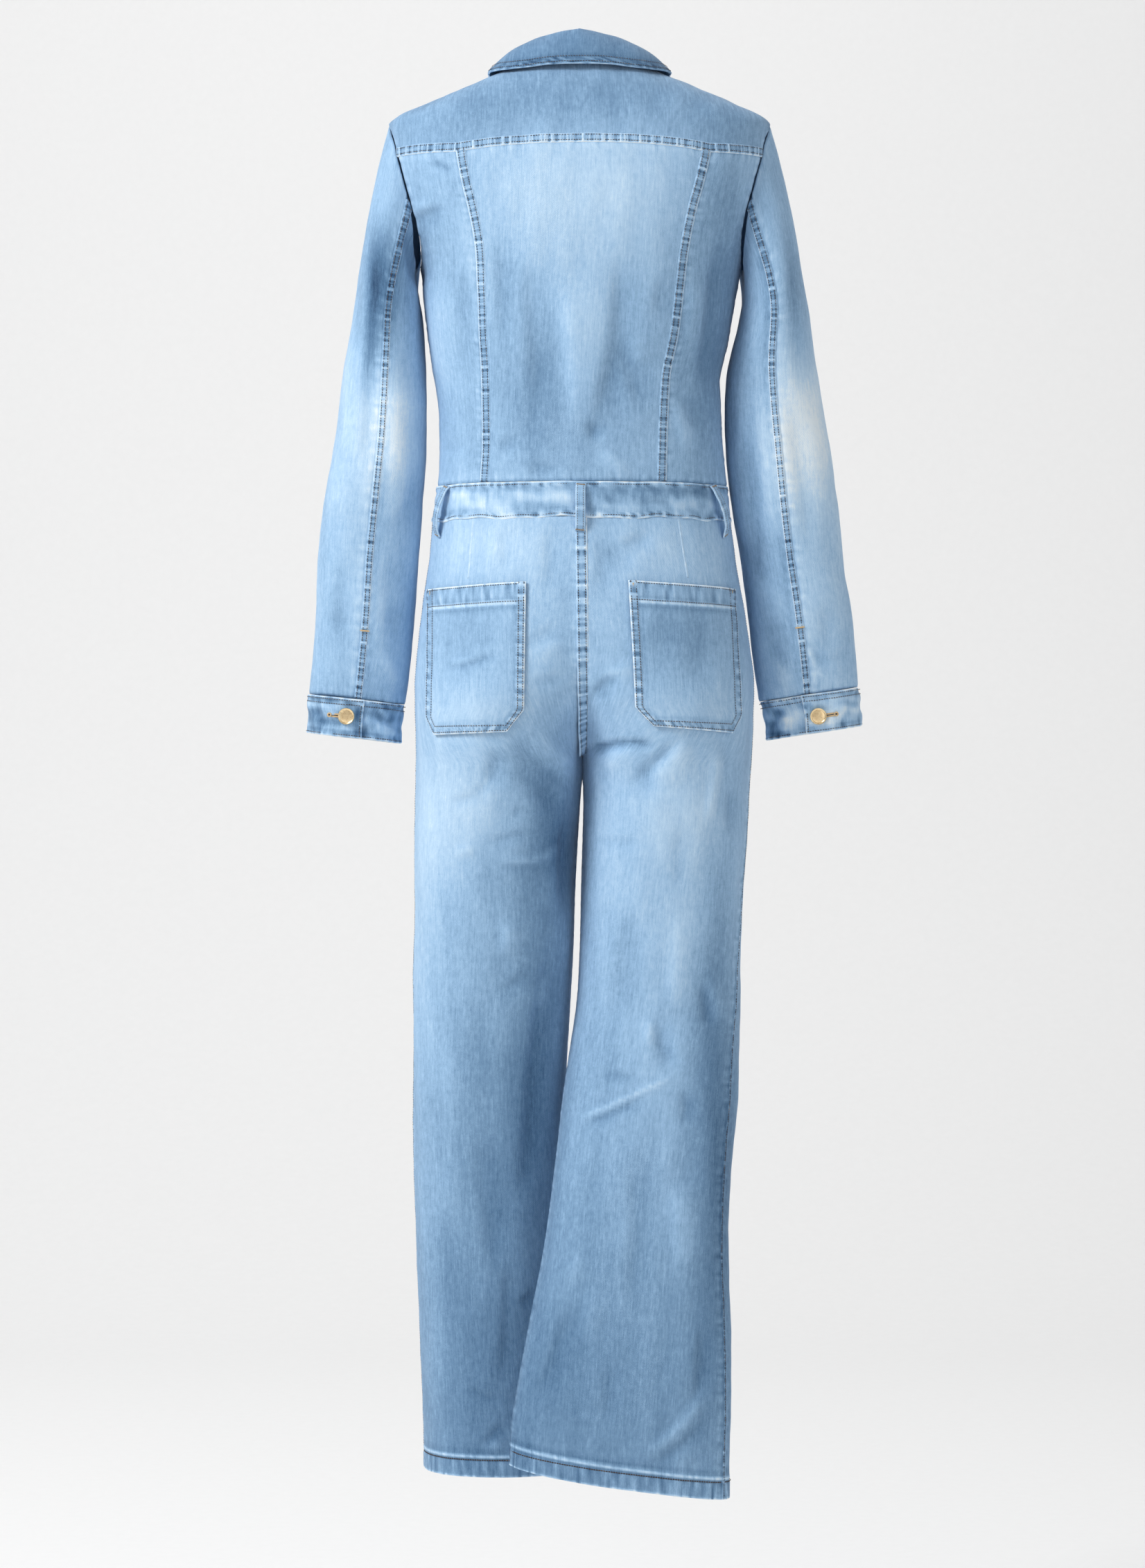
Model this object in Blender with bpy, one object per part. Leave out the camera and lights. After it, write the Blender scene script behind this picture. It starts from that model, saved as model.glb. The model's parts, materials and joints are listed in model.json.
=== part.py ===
"""A denim jumpsuit with long sleeves and wide legs, as it hangs on a figure that isn't there.

Z is up, the front faces -Y, the wearer's left is +X, and the origin is the middle of the
neck, at the height of the shoulder tops. Lengths are in millimetres until a mesh is made.

Three surfaces carry everything: the bodice, the sleeves and the trouser legs. Each is a
function of an angle and a height that looks up a short table of rings. Each panel is a grid
of points on one of them, and its wall is that grid and the same grid moved in along the
normals. Whatever lies on a panel is made from points of the same surface moved out.
"""

import math

import bpy
import numpy as np
from mathutils import Vector
from mathutils.bvhtree import BVHTree

MM = 0.001

# Walls and gaps
CLOTH = 1.5  # one panel of denim with its turned edges
DOUBLE = 2.4  # waistband, cuffs and collar, which are two layers
SEAM = 0.15  # each panel stops this far before the seam line
LIE, POCKET_LIE = 1.3, 1.8  # how far over the panel a piece that is sewn on it starts

# Angles, in degrees: 0 is the wearer's left, 90 the back, -90 the front
YOKE_END = 60.0  # where the yoke seam meets the armhole, round the armhole from its top
SHOULDER_SEAM = -15.0  # where the shoulder seam meets the armhole
ARMHOLE_STEP = 15.0
ARMHOLE_BACK, ARMHOLE_FRONT = 21.5, -25.0  # how far round the body the armhole reaches
ARMHOLE_LOW, ARMHOLE_HIGH = 0.505, 0.835  # its lowest and highest height on the bodice
SLEEVE_BACK_SEAM, SLEEVE_FRONT_SEAM = 90.0, -120.0

# Heights on the body
WAIST_SEAM = -427.5  # the bodice ends here and the waistband starts
BAND_BOTTOM = -462.5
CROTCH = -710.0

BODICE = (
    # height 0-1, left and right half-width, back and front depth, z at side, back and front
    ("at", "left", "right", "back", "front", "z_side", "z_back", "z_front"),
    (0.000, 144.0, 149.5, 97.0, 100.0, -427.5, -427.5, -427.5),
    (0.075, 142.3, 147.0, 97.0, 103.0, -392.0, -392.0, -392.0),
    (0.218, 146.0, 145.0, 102.0, 112.0, -326.0, -326.0, -328.0),
    (0.317, 153.0, 153.0, 107.0, 122.0, -283.0, -283.0, -288.0),
    (0.437, 160.0, 161.0, 111.5, 128.0, -230.0, -230.0, -240.0),
    (0.505, 165.0, 166.0, 113.5, 128.0, -203.0, -203.0, -217.0),
    (0.597, 177.0, 177.0, 115.0, 124.0, -160.0, -161.0, -184.0),
    (0.688, 188.0, 188.0, 113.5, 116.0, -118.0, -121.0, -153.0),
    (0.768, 194.0, 194.0, 107.5, 108.0, -82.0, -85.0, -128.0),
    (0.835, 193.0, 192.0, 98.0, 102.0, -55.0, -57.0, -111.0),
    (0.890, 158.0, 158.0, 87.0, 96.0, -38.5, -34.5, -99.0),
    (0.950, 111.0, 111.0, 73.0, 88.0, -19.0, -13.5, -87.0),
    (1.000, 68.0, 68.0, 59.0, 78.0, -1.0, 6.0, -75.0),
)

SLEEVE_TOP_SECTION = -262.0  # above it the sleeve head runs up to the armhole
SLEEVE = {
    # outermost and innermost x, middle and half of the depth, by height
    "left": (
        ("z", "outer", "inner", "middle", "half"),
        (-262.0, 233.0, 159.5, -4.0, 60.0),
        (-304.0, 240.0, 157.0, -6.0, 57.0),
        (-368.0, 248.0, 156.5, -9.0, 53.0),
        (-432.0, 259.0, 158.5, -13.0, 49.0),
        (-496.0, 267.0, 164.0, -18.0, 45.0),
        (-560.0, 271.0, 169.5, -23.0, 41.0),
        (-610.0, 275.0, 175.5, -28.0, 37.0),
        (-638.5, 278.0, 179.5, -31.0, 33.0),
    ),
    "right": (
        ("z", "outer", "inner", "middle", "half"),
        (-262.0, 236.5, 161.0, -6.0, 60.0),
        (-304.0, 243.5, 150.5, -9.0, 55.0),
        (-347.0, 251.0, 148.5, -12.0, 52.0),
        (-389.0, 258.0, 150.0, -14.0, 50.0),
        (-453.0, 265.0, 156.5, -17.0, 46.0),
        (-496.0, 269.0, 163.5, -20.0, 44.0),
        (-560.0, 279.0, 173.0, -24.0, 41.0),
        (-610.0, 284.0, 180.5, -28.0, 37.0),
        (-638.5, 286.0, 185.0, -31.0, 33.0),
    ),
}
CUFF = {
    "left": (
        ("z", "outer", "inner", "middle", "half"),
        (-639.0, 278.5, 180.0, -31.0, 32.0),
        (-661.0, 279.5, 183.5, -32.0, 30.0),
        (-684.0, 280.0, 185.0, -33.0, 31.0),
    ),
    "right": (
        ("z", "outer", "inner", "middle", "half"),
        (-639.0, 286.5, 186.0, -31.0, 32.0),
        (-661.0, 289.5, 191.0, -32.0, 30.0),
        (-684.0, 290.0, 193.0, -33.0, 31.0),
    ),
}
CUFF_START, CUFF_END = 62.0, 460.0  # it laps over itself at the back
CUFF_LIFT = 3.1  # how far its upper end lies outside its lower one

LEGS = {
    # z, how far the two legs have parted (1 at the crotch), outermost and innermost x,
    # middle of the depth, back and front depth, turn of the outseam in degrees
    "left": (
        ("z", "parted", "outer", "inner", "middle", "back", "front", "turn"),
        (-462.5, 0.00, 149.0, 0.0, 0.0, 98.0, 98.0, 0.0),
        (-500.0, 0.03, 152.0, 0.0, 0.0, 106.0, 100.0, 0.0),
        (-545.0, 0.10, 158.5, 0.0, 0.0, 114.0, 102.0, 0.0),
        (-590.0, 0.24, 164.0, 0.0, 0.0, 118.0, 103.0, 0.0),
        (-630.0, 0.52, 167.5, 0.0, 0.0, 118.0, 102.0, 0.0),
        (-665.0, 0.83, 167.0, 0.0, 0.0, 113.0, 99.0, 0.0),
        (-690.0, 0.965, 166.5, 0.0, 0.0, 107.0, 96.0, 0.0),
        (-703.0, 0.996, 166.5, 0.0, 0.0, 103.0, 94.0, 0.0),
        (-710.0, 1.00, 166.5, -3.0, 0.0, 101.0, 93.0, 0.0),
        (-722.0, 1.00, 166.5, -2.4, -1.0, 98.0, 91.0, 0.0),
        (-750.0, 1.00, 167.0, -0.5, -3.0, 92.0, 88.0, 0.0),
        (-793.0, 1.00, 168.5, 2.2, -6.0, 84.0, 84.0, 0.0),
        (-835.0, 1.00, 168.5, 4.4, -10.0, 78.0, 80.0, 0.0),
        (-900.0, 1.00, 169.0, 6.5, -16.0, 72.0, 75.0, 0.0),
        (-963.0, 1.00, 169.0, 10.0, -22.0, 68.0, 72.0, 0.0),
        (-1046.0, 1.00, 170.0, 14.0, -31.0, 66.0, 70.0, 0.0),
        (-1133.0, 1.00, 169.0, 14.0, -40.0, 66.0, 69.0, 0.0),
        (-1239.0, 1.00, 167.0, 11.0, -49.0, 67.0, 69.0, 0.0),
        (-1324.0, 1.00, 163.0, 7.0, -55.0, 68.0, 69.0, 0.0),
        (-1395.0, 1.00, 160.5, 3.0, -58.0, 69.0, 70.0, 0.0),
        (-1437.0, 1.00, 160.0, 1.0, -59.0, 70.0, 71.0, 0.0),
    ),
    "right": (
        ("z", "parted", "outer", "inner", "middle", "back", "front", "turn"),
        (-462.5, 0.00, 153.6, 0.0, 0.0, 98.0, 98.0, 0.0),
        (-500.0, 0.03, 159.0, 0.0, 0.0, 106.0, 100.0, 0.0),
        (-545.0, 0.10, 167.0, 0.0, 0.0, 114.0, 102.0, 0.0),
        (-590.0, 0.24, 173.5, 0.0, 0.0, 118.0, 103.0, 0.0),
        (-630.0, 0.52, 176.5, 0.0, 0.0, 118.0, 102.0, 2.0),
        (-665.0, 0.83, 175.5, 0.0, 0.0, 113.0, 99.0, 4.0),
        (-690.0, 0.965, 174.5, 0.0, 0.0, 107.0, 96.0, 6.0),
        (-703.0, 0.996, 174.0, 0.0, 0.0, 103.0, 94.0, 6.0),
        (-710.0, 1.00, 174.0, 3.0, 0.0, 101.0, 93.0, 7.0),
        (-722.0, 1.00, 173.5, 3.5, 0.0, 98.0, 90.0, 8.0),
        (-750.0, 1.00, 172.5, 4.2, 1.0, 93.0, 86.0, 10.0),
        (-793.0, 1.00, 170.5, 3.2, 2.0, 86.0, 80.0, 12.0),
        (-835.0, 1.00, 167.5, 2.0, 2.0, 79.0, 74.0, 15.0),
        (-900.0, 1.00, 165.0, 0.5, 0.0, 70.0, 66.0, 20.0),
        (-958.0, 1.00, 164.5, -3.0, -2.0, 64.0, 60.0, 25.0),
        (-996.0, 1.00, 162.5, -8.5, 2.0, 61.0, 57.0, 27.0),
        (-1046.0, 1.00, 160.5, -16.0, 11.0, 57.0, 53.0, 28.0),
        (-1113.0, 1.00, 155.0, -23.5, 26.0, 53.0, 48.0, 28.0),
        (-1217.0, 1.00, 151.0, -37.0, 44.0, 48.0, 43.0, 26.0),
        (-1290.0, 1.00, 152.0, -50.5, 54.0, 42.0, 38.0, 24.0),
        (-1365.0, 1.00, 152.0, -63.0, 60.0, 37.0, 34.0, 22.0),
        (-1405.0, 1.00, 151.0, -68.5, 62.0, 35.0, 33.0, 22.0),
        (-1451.0, 1.00, 150.5, -70.0, 63.0, 34.0, 32.0, 22.0),
    ),
}
HEM_RISE = {"left": (0.0, 0.0), "right": (33.0, 6.0)}  # at the inner edge and at the front

MIDDLE_SEAM = (("z", "x"), (-760.0, -3.0), (-710.0, -3.0), (-600.0, -1.6), (-462.5, 0.0))

BACK_POCKET = {
    # x and z of its corners, round from the top corner nearest the centre
    "left": (
        (52.6, -529.4), (151.9, -534.0), (151.9, -663.5), (143.0, -681.0), (72.6, -678.0), (55.3, -656.0)
    ),
    "right": (
        (-48.0, -528.0), (-155.2, -534.0), (-160.1, -661.4), (-151.2, -679.0), (-74.2, -672.0), (-55.6, -652.8)
    ),
}
FRONT_POCKET = {
    "left": (
        (56.0, -532.0), (150.0, -538.0), (156.0, -662.0), (146.0, -680.0), (74.0, -680.0), (60.0, -660.0)
    ),
    "right": (
        (-56.0, -532.0), (-156.0, -538.0), (-163.0, -662.0), (-152.0, -680.0), (-74.0, -680.0), (-60.0, -660.0)
    ),
}

LOOP_WIDTH, LOOP_TOP, LOOP_BOTTOM = 10.0, -429.5, -479.0
LOOPS = {
    # angle on the waistband at the top and at the bottom, and how far the middle stands off
    "back": (90.2, 90.2, 4.2),
    "back_left": (26.0, 19.5, 8.0),
    "back_right": (152.0, 160.5, 8.0),
    "front_left": (-60.0, -60.0, 5.0),
    "front_right": (-120.0, -120.0, 5.0),
}

PLACKET_WIDTH = 32.0
FLY_WIDTH, FLY_LENGTH = 36.0, 165.0
BUTTON = 8.5  # radius
FRONT_BUTTONS = (0.045, 0.175, 0.305, 0.435, 0.570, 0.710, 0.850)  # along the placket
CUFF_BUTTON = {"left": 84.0, "right": 87.0}  # angle on the cuff

DENIM = (0.30, 0.46, 0.66)
PALE_DENIM = (0.42, 0.57, 0.74)
GOLD = (0.72, 0.52, 0.30)


# --- tables and shapes -------------------------------------------------------------------


def smooth_table(table, key, name):
    """A smooth curve through one column of a table, read at values of its key column."""
    names, rows = table[0], np.array(table[1:], float)
    x, y = rows[:, names.index(key)], rows[:, names.index(name)]
    if x[0] > x[-1]:
        x, y = x[::-1], y[::-1]
    step = np.diff(x)
    slope = np.diff(y) / step
    tangent = np.empty_like(y)
    tangent[0], tangent[-1] = slope[0], slope[-1]
    tangent[1:-1] = (slope[:-1] * step[1:] + slope[1:] * step[:-1]) / (step[1:] + step[:-1])
    tangent[1:-1][slope[:-1] * slope[1:] <= 0] = 0

    def read(at):
        at = np.clip(np.asarray(at, float), x[0], x[-1])
        i = np.clip(np.searchsorted(x, at) - 1, 0, len(x) - 2)
        h, t = step[i], (at - x[i]) / step[i]
        return (
            (1 + 2 * t) * (1 - t) ** 2 * y[i]
            + t * (1 - t) ** 2 * h * tangent[i]
            + t * t * (3 - 2 * t) * y[i + 1]
            + t * t * (t - 1) * h * tangent[i + 1]
        )

    return read


def columns(table, key):
    return {name: smooth_table(table, key, name) for name in table[0]}


BODICE_AT = columns(BODICE, "at")
SLEEVE_AT = {side: columns(rows, "z") for side, rows in SLEEVE.items()}
CUFF_AT = {side: columns(rows, "z") for side, rows in CUFF.items()}
LEG_AT = {side: columns(rows, "z") for side, rows in LEGS.items()}
MIDDLE_SEAM_AT = smooth_table(MIDDLE_SEAM, "z", "x")


def rounded(value, power):
    """A sine or cosine made fuller or flatter, for a section squarer than an ellipse."""
    return np.sign(value) * np.abs(value) ** power


def side_sign(side):
    return 1.0 if side == "left" else -1.0


def bodice(angle, at):
    """Points of the body from the waist seam (0) up to the neck seam (1)."""
    angle, at = np.broadcast_arrays(np.asarray(angle, float), np.asarray(at, float))
    c, s = np.cos(np.radians(angle)), np.sin(np.radians(angle))
    table = {name: read(at) for name, read in BODICE_AT.items()}
    power = 0.92 - 0.10 * np.exp(-(((at - 0.70) / 0.20) ** 2))
    x = rounded(c, power) * np.where(c > 0, table["left"], table["right"])
    y = rounded(s, power) * np.where(s > 0, table["back"], table["front"])
    z = c * c * table["z_side"] + s * s * np.where(s > 0, table["z_back"], table["z_front"])
    return np.stack([x, y, z], axis=-1)


def armhole_place(side, turn):
    """Angle and height on the bodice of a point of the armhole, turned from its top."""
    turn = np.radians(np.asarray(turn, float))
    s = np.sin(turn)
    angle = np.where(s > 0, ARMHOLE_BACK, -ARMHOLE_FRONT) * rounded(s, 0.85)
    at = ARMHOLE_LOW + (ARMHOLE_HIGH - ARMHOLE_LOW) * ((1 + np.cos(turn)) / 2) ** 1.2
    return (angle if side == "left" else 180.0 - angle), at


def armhole(side, turn):
    return bodice(*armhole_place(side, turn))


def under_share(turn):
    """1 below the armhole, where the sleeve's outside faces the bodice, and 0 above it."""
    near = np.abs((np.asarray(turn, float) + 180) % 360 - 180)
    t = np.clip((near - 95.0) / 50.0, 0, 1)
    return t * t * (3 - 2 * t)


def bodice_normals(side, turn):
    angle, at = armhole_place(side, turn)
    return surface_normals(bodice, angle, at, bodice(angle, at) * [1, 1, 0])


def section(side, table, turn, z):
    """A point of a level section of the arm. Turn 0 is outside, 90 at the back."""
    turn, z = np.broadcast_arrays(np.asarray(turn, float), np.asarray(z, float))
    c, s = np.cos(np.radians(turn)), np.sin(np.radians(turn))
    outer, inner = table["outer"](z), table["inner"](z)
    x = (outer + inner) / 2 + (outer - inner) / 2 * rounded(c, 0.92)
    y = table["middle"](z) + table["half"](z) * rounded(s, 0.92)
    return np.stack([side_sign(side) * x, y, z], axis=-1)


def sleeve(side, turn, down):
    """Points of the sleeve: down is 0 at the armhole, 1 at the first level section, then 2
    at the cuff seam."""
    turn, down = np.broadcast_arrays(np.asarray(turn, float), np.asarray(down, float))
    z = SLEEVE_TOP_SECTION + (SLEEVE[side][-1][0] - SLEEVE_TOP_SECTION) * np.clip(down - 1, 0, 1)
    lower = section(side, SLEEVE_AT[side], turn, z)
    first = section(side, SLEEVE_AT[side], turn, SLEEVE_TOP_SECTION)
    below = section(side, SLEEVE_AT[side], turn, SLEEVE_TOP_SECTION - 8.0)
    out = bodice_normals(side, turn)
    start = armhole(side, turn) + out * (0.9 * under_share(turn))[..., None]
    reach = np.linalg.norm(first - start, axis=-1, keepdims=True)
    leave = np.stack(
        [
            side_sign(side) * (0.20 + 0.10 * np.cos(np.radians(turn))),
            0.16 * np.sin(np.radians(turn)),
            -np.ones(turn.shape),
        ],
        axis=-1,
    )
    arrive = below - first
    arrive = arrive / np.linalg.norm(arrive, axis=-1, keepdims=True)
    t = np.clip(down, 0, 1)[..., None]
    head = (
        (1 + 2 * t) * (1 - t) ** 2 * start
        + t * (1 - t) ** 2 * reach * leave
        + t * t * (3 - 2 * t) * first
        + t * t * (t - 1) * reach * arrive
    )
    return np.where(down[..., None] < 1, head, lower)


def cuff(side, turn, z):
    """Points of the cuff, whose upper end rises over its lower one."""
    turn, z = np.broadcast_arrays(np.asarray(turn, float), np.asarray(z, float))
    point = section(side, CUFF_AT[side], turn, z)
    lift = CUFF_LIFT * np.clip((turn - 375.0) / 45.0, 0, 1)
    out = np.stack(
        [
            side_sign(side) * np.cos(np.radians(turn)),
            np.sin(np.radians(turn)),
            np.zeros(turn.shape),
        ],
        axis=-1,
    )
    return point + lift[..., None] * out


def inner_turn(side, z):
    """How far round a leg's section reaches: to the middle seam, or all round below it."""
    parted = np.clip(LEG_AT[side]["parted"](z), 0, 1)
    return np.where(z <= CROTCH, 180.0, np.degrees(np.arccos(-rounded(parted, 1 / 0.94))))


def leg(side, turn, z):
    """Points of a leg. Turn 0 is outside, positive to the back, negative to the front."""
    turn, z = np.broadcast_arrays(np.asarray(turn, float), np.asarray(z, float))
    c, s = np.cos(np.radians(turn)), np.sin(np.radians(turn))
    table = {name: read(z) for name, read in LEG_AT[side].items()}
    parted = np.clip(table["parted"], 0, 1)
    seam = side_sign(side) * MIDDLE_SEAM_AT(z)
    upper = (table["outer"] - seam) / (1 + parted)
    lower = (table["outer"] - table["inner"]) / 2
    half = np.where(z > CROTCH, upper, lower)
    centre = np.where(z > CROTCH, seam + upper * parted, table["inner"] + lower)
    x = 0.2 + centre + half * rounded(c, 0.94)
    y = table["middle"] + rounded(s, 0.94) * np.where(s > 0, table["back"], table["front"])
    hem = LEGS[side][-1][0]
    near_hem = np.clip((CROTCH - z) / (CROTCH - hem), 0, 1) ** 3
    inner_rise, front_rise = HEM_RISE[side]
    rise = near_hem * (inner_rise * (1 - c) / 2 + front_rise * (1 - s) / 2)
    return np.stack([side_sign(side) * x, y, z + rise], axis=-1)


def seat_turn(side, x, z):
    """The turn on a leg whose point lies at this x, above the crotch."""
    parted = np.clip(LEG_AT[side]["parted"](z), 0, 1)
    seam = side_sign(side) * MIDDLE_SEAM_AT(z)
    half = (LEG_AT[side]["outer"](z) - seam) / (1 + parted)
    c = (side_sign(side) * x - 0.2 - seam) / half - parted
    return np.degrees(np.arccos(rounded(np.clip(c, -1, 1), 1 / 0.94)))


def waistband(angle, z):
    """Points of the waistband, whose right end laps over the left one at the front."""
    angle, z = np.broadcast_arrays(np.asarray(angle, float), np.asarray(z, float))
    c, s = np.cos(np.radians(angle)), np.sin(np.radians(angle))
    t = (z - BAND_BOTTOM) / (WAIST_SEAM - BAND_BOTTOM)
    left = 149.0 + t * (BODICE_AT["left"](0) - 149.0)
    right = 153.6 + t * (BODICE_AT["right"](0) - 153.6)
    back = 98.0 + t * (BODICE_AT["back"](0) - 98.0)
    front = 98.0 + t * (BODICE_AT["front"](0) - 98.0)
    power = 0.94 + t * (0.92 - 0.94)
    lift = 0.4 + 3.1 * np.clip((angle - 238.0) / 17.0, 0, 1)
    x = rounded(c, power) * (np.where(c > 0, left, right) + lift)
    y = rounded(s, power) * (np.where(s > 0, back, front) + lift)
    return np.stack([x, y, z], axis=-1)


# --- meshes ------------------------------------------------------------------------------


def surface_normals(surface, a, b, outwards):
    """Unit normals of a surface at a grid of places, on the side that `outwards` is."""
    da, db = 0.4, 1e-3 * max(float(np.ptp(b)), 1e-3)
    u = surface(a + da, b) - surface(a - da, b)
    v = surface(a, b + db) - surface(a, b - db)
    n = np.cross(u, v)
    n /= np.maximum(np.linalg.norm(n, axis=-1, keepdims=True), 1e-12)
    return n if np.sum(n * outwards) > 0 else -n


def moved_in(border, neighbour, by):
    """A border line moved squarely towards the line of points beside it."""
    along = np.gradient(border, axis=0)
    along /= np.maximum(np.linalg.norm(along, axis=-1, keepdims=True), 1e-9)
    step = neighbour - border
    step = step - np.sum(step * along, axis=-1, keepdims=True) * along
    return border + by * step / np.maximum(np.linalg.norm(step, axis=-1, keepdims=True), 1e-9)


def stop_short(points, sides, by=SEAM):
    """A grid whose borders are moved in, so that a seam line keeps clear of both panels."""
    rows, across = sides
    points, before = points.copy(), points
    if "first" in rows:
        points[0] += moved_in(before[0], before[1], by) - before[0]
    if "last" in rows:
        points[-1] += moved_in(before[-1], before[-2], by) - before[-1]
    if "first" in across:
        points[:, 0] += moved_in(before[:, 0], before[:, 1], by) - before[:, 0]
    if "last" in across:
        points[:, -1] += moved_in(before[:, -1], before[:, -2], by) - before[:, -1]
    return points


def grid_faces(n, m, start, turned, short):
    """Two triangles for each square of the grid, split along its shorter diagonal."""
    faces = []
    for i in range(n - 1):
        for j in range(m - 1):
            a = start + i * m + j
            b, c, d = a + m, a + m + 1, a + 1
            for face in ((a, b, c), (a, c, d)) if short[i, j] else ((a, b, d), (b, c, d)):
                faces.append(face[::-1] if turned else face)
    return faces


def wall(outer, inner):
    """Points and faces of the closed wall between two grids."""
    n, m = outer.shape[:2]
    count = n * m
    one = np.linalg.norm(outer[1:, 1:] - outer[:-1, :-1], axis=-1)
    short = one <= np.linalg.norm(outer[1:, :-1] - outer[:-1, 1:], axis=-1)
    faces = grid_faces(n, m, 0, False, short) + grid_faces(n, m, count, True, short)
    rim = (
        [(i, 0) for i in range(n)]
        + [(n - 1, j) for j in range(1, m)]
        + [(i, m - 1) for i in range(n - 2, -1, -1)]
        + [(0, j) for j in range(m - 2, 0, -1)]
    )
    for (i, j), (k, l) in zip(rim, rim[1:] + rim[:1]):
        a, b = i * m + j, k * m + l
        faces += [(b, a, a + count), (b, a + count, b + count)]
    points = np.concatenate([outer.reshape(-1, 3), inner.reshape(-1, 3)])
    return points, faces


def volume(points, faces):
    total = 0.0
    for face in faces:
        for k in range(1, len(face) - 1):
            total += np.dot(points[face[0]], np.cross(points[face[k]], points[face[k + 1]]))
    return total / 6


def paint(obj, colour, metal):
    material = bpy.data.materials.new(obj.name)
    material.use_nodes = True
    shader = material.node_tree.nodes["Principled BSDF"]
    shader.inputs["Base Color"].default_value = (*colour, 1.0)
    shader.inputs["Metallic"].default_value = metal
    shader.inputs["Roughness"].default_value = 0.35 if metal else 0.9
    obj.data.materials.append(material)


def add(name, points, faces, colour=DENIM, metal=0.0):
    """A closed mesh object whose faces look out."""
    if volume(points, faces) < 0:
        faces = [face[::-1] for face in faces]
    mesh = bpy.data.meshes.new(name)
    mesh.from_pydata((np.asarray(points) * MM).tolist(), [], faces)
    mesh.validate()
    mesh.update()
    mesh.shade_smooth()
    mesh.set_sharp_from_angle(angle=math.radians(45))
    obj = bpy.data.objects.new(name, mesh)
    bpy.context.scene.collection.objects.link(obj)
    paint(obj, colour, metal)
    return obj


def add_panel(name, surface, a, b, middle, sides=(), thick=CLOTH, over=0.0, colour=DENIM, first=None, gap=SEAM):
    """A cloth wall on a surface. Its face lies over it by `over`, and it is `thick` inwards.

    `middle` is a point inside the limb, for which way is out, `sides` the borders that stop
    short of a seam, and `first` the normals of the neighbour along the first row.
    """
    a, b = np.broadcast_arrays(np.asarray(a, float), np.asarray(b, float))
    points = surface(a, b)
    n = surface_normals(surface, a, b, (points - middle) * [1, 1, 0])
    if first is not None:
        n[:, 0] = first
    points = stop_short(points, sides or ((), ()), gap)
    return add(name, *wall(points + over * n, points + (over - thick) * n), colour)


ALL_ROUND = (("first", "last"),) * 2


# --- bodice ------------------------------------------------------------------------------


def spread(a, b, count):
    """Places from a to b, each an (angle, height) pair, the ends included."""
    t = np.linspace(0, 1, count + 1)[:, None]
    return np.asarray(a, float) * (1 - t) + np.asarray(b, float) * t


def chain(*parts):
    """Borders joined end to end, without the doubled points."""
    return np.concatenate([parts[0]] + [part[1:] for part in parts[1:]])


def patch(left, right, bottom, top):
    """A grid of places between four borders: left and right run up, bottom and top across."""
    n, m = len(left), len(bottom)
    v, u = np.linspace(0, 1, n)[:, None, None], np.linspace(0, 1, m)[None, :, None]
    across = left[:, None] * (1 - u) + right[:, None] * u
    up = bottom[None] * (1 - v) + top[None] * v
    corners = (
        left[0] * (1 - u) * (1 - v) + right[0] * u * (1 - v) + left[-1] * (1 - u) * v + right[-1] * u * v
    )
    grid = across + up - corners
    for _ in range(300):  # evens out the inside, so that no square folds over the next
        grid[1:-1, 1:-1] = (grid[2:, 1:-1] + grid[:-2, 1:-1] + grid[1:-1, 2:] + grid[1:-1, :-2]) / 4
    return grid


def armhole_border(side, start, end):
    count = int(round(abs(end - start) / ARMHOLE_STEP))
    turn = np.linspace(start, end, count + 1)
    return np.stack(armhole_place(side, turn), axis=-1)


def mirrored(places, side):
    """Places given for the left side, on either side."""
    places = np.array(places, float)
    if side == "right":
        places[:, 0] = 180.0 - places[:, 0]
    return places


SIDE_ROWS, BACK_COLUMNS, CENTRE_COLUMNS, FRONT_COLUMNS = 6, 5, 8, 10
UNDERARM = {"left": 0.0, "right": 180.0}
PRINCESS = {
    # angle and height along the seam, from the waist up
    "left": ((48.2, 0.0), (49.7, 0.20), (52.0, 0.40), (55.8, 0.60), (55.0, 0.738)),
    "right": ((123.1, 0.0), (125.9, 0.20), (128.2, 0.40), (126.7, 0.60), (128.4, 0.738)),
}
YOKE_MIDDLE = 0.756
NECK_SHOULDER = -14.0  # where the shoulder seam meets the neck, as an angle


def resample(places, count):
    places = np.array(places, float)
    along = np.concatenate([[0], np.cumsum(np.hypot(np.diff(places[:, 0]) / 90, np.diff(places[:, 1])))])
    at = np.linspace(0, along[-1], count + 1)
    smooth = [smooth_table((("k", "v"), *zip(along, places[:, k])), "k", "v")(at) for k in (0, 1)]
    return np.stack(smooth, axis=-1)


def princess(side):
    rows = SIDE_ROWS + int(round((180 - YOKE_END) / ARMHOLE_STEP))
    return resample(PRINCESS[side], rows)


def yoke_seam(side):
    """From the armhole in to the princess seam."""
    end, start = armhole_border(side, YOKE_END, YOKE_END + ARMHOLE_STEP)[0], PRINCESS[side][-1]
    return spread(end, start, BACK_COLUMNS)


def yoke_centre():
    """From the left princess seam to the right one, highest in the middle."""
    a, b = np.array(PRINCESS["left"][-1]), np.array(PRINCESS["right"][-1])
    t = np.linspace(0, 1, CENTRE_COLUMNS + 1)[:, None]
    places = a * (1 - t) + b * t
    places[:, 1] += (YOKE_MIDDLE - (a[1] + b[1]) / 2) * 4 * t[:, 0] * (1 - t[:, 0])
    return places


def side_border(side):
    """The side seam, then the back of the armhole up to the yoke seam."""
    seam = spread((UNDERARM[side], 0.0), armhole_border(side, 180, 165)[0], SIDE_ROWS)
    return chain(seam, armhole_border(side, 180, YOKE_END))


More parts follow.
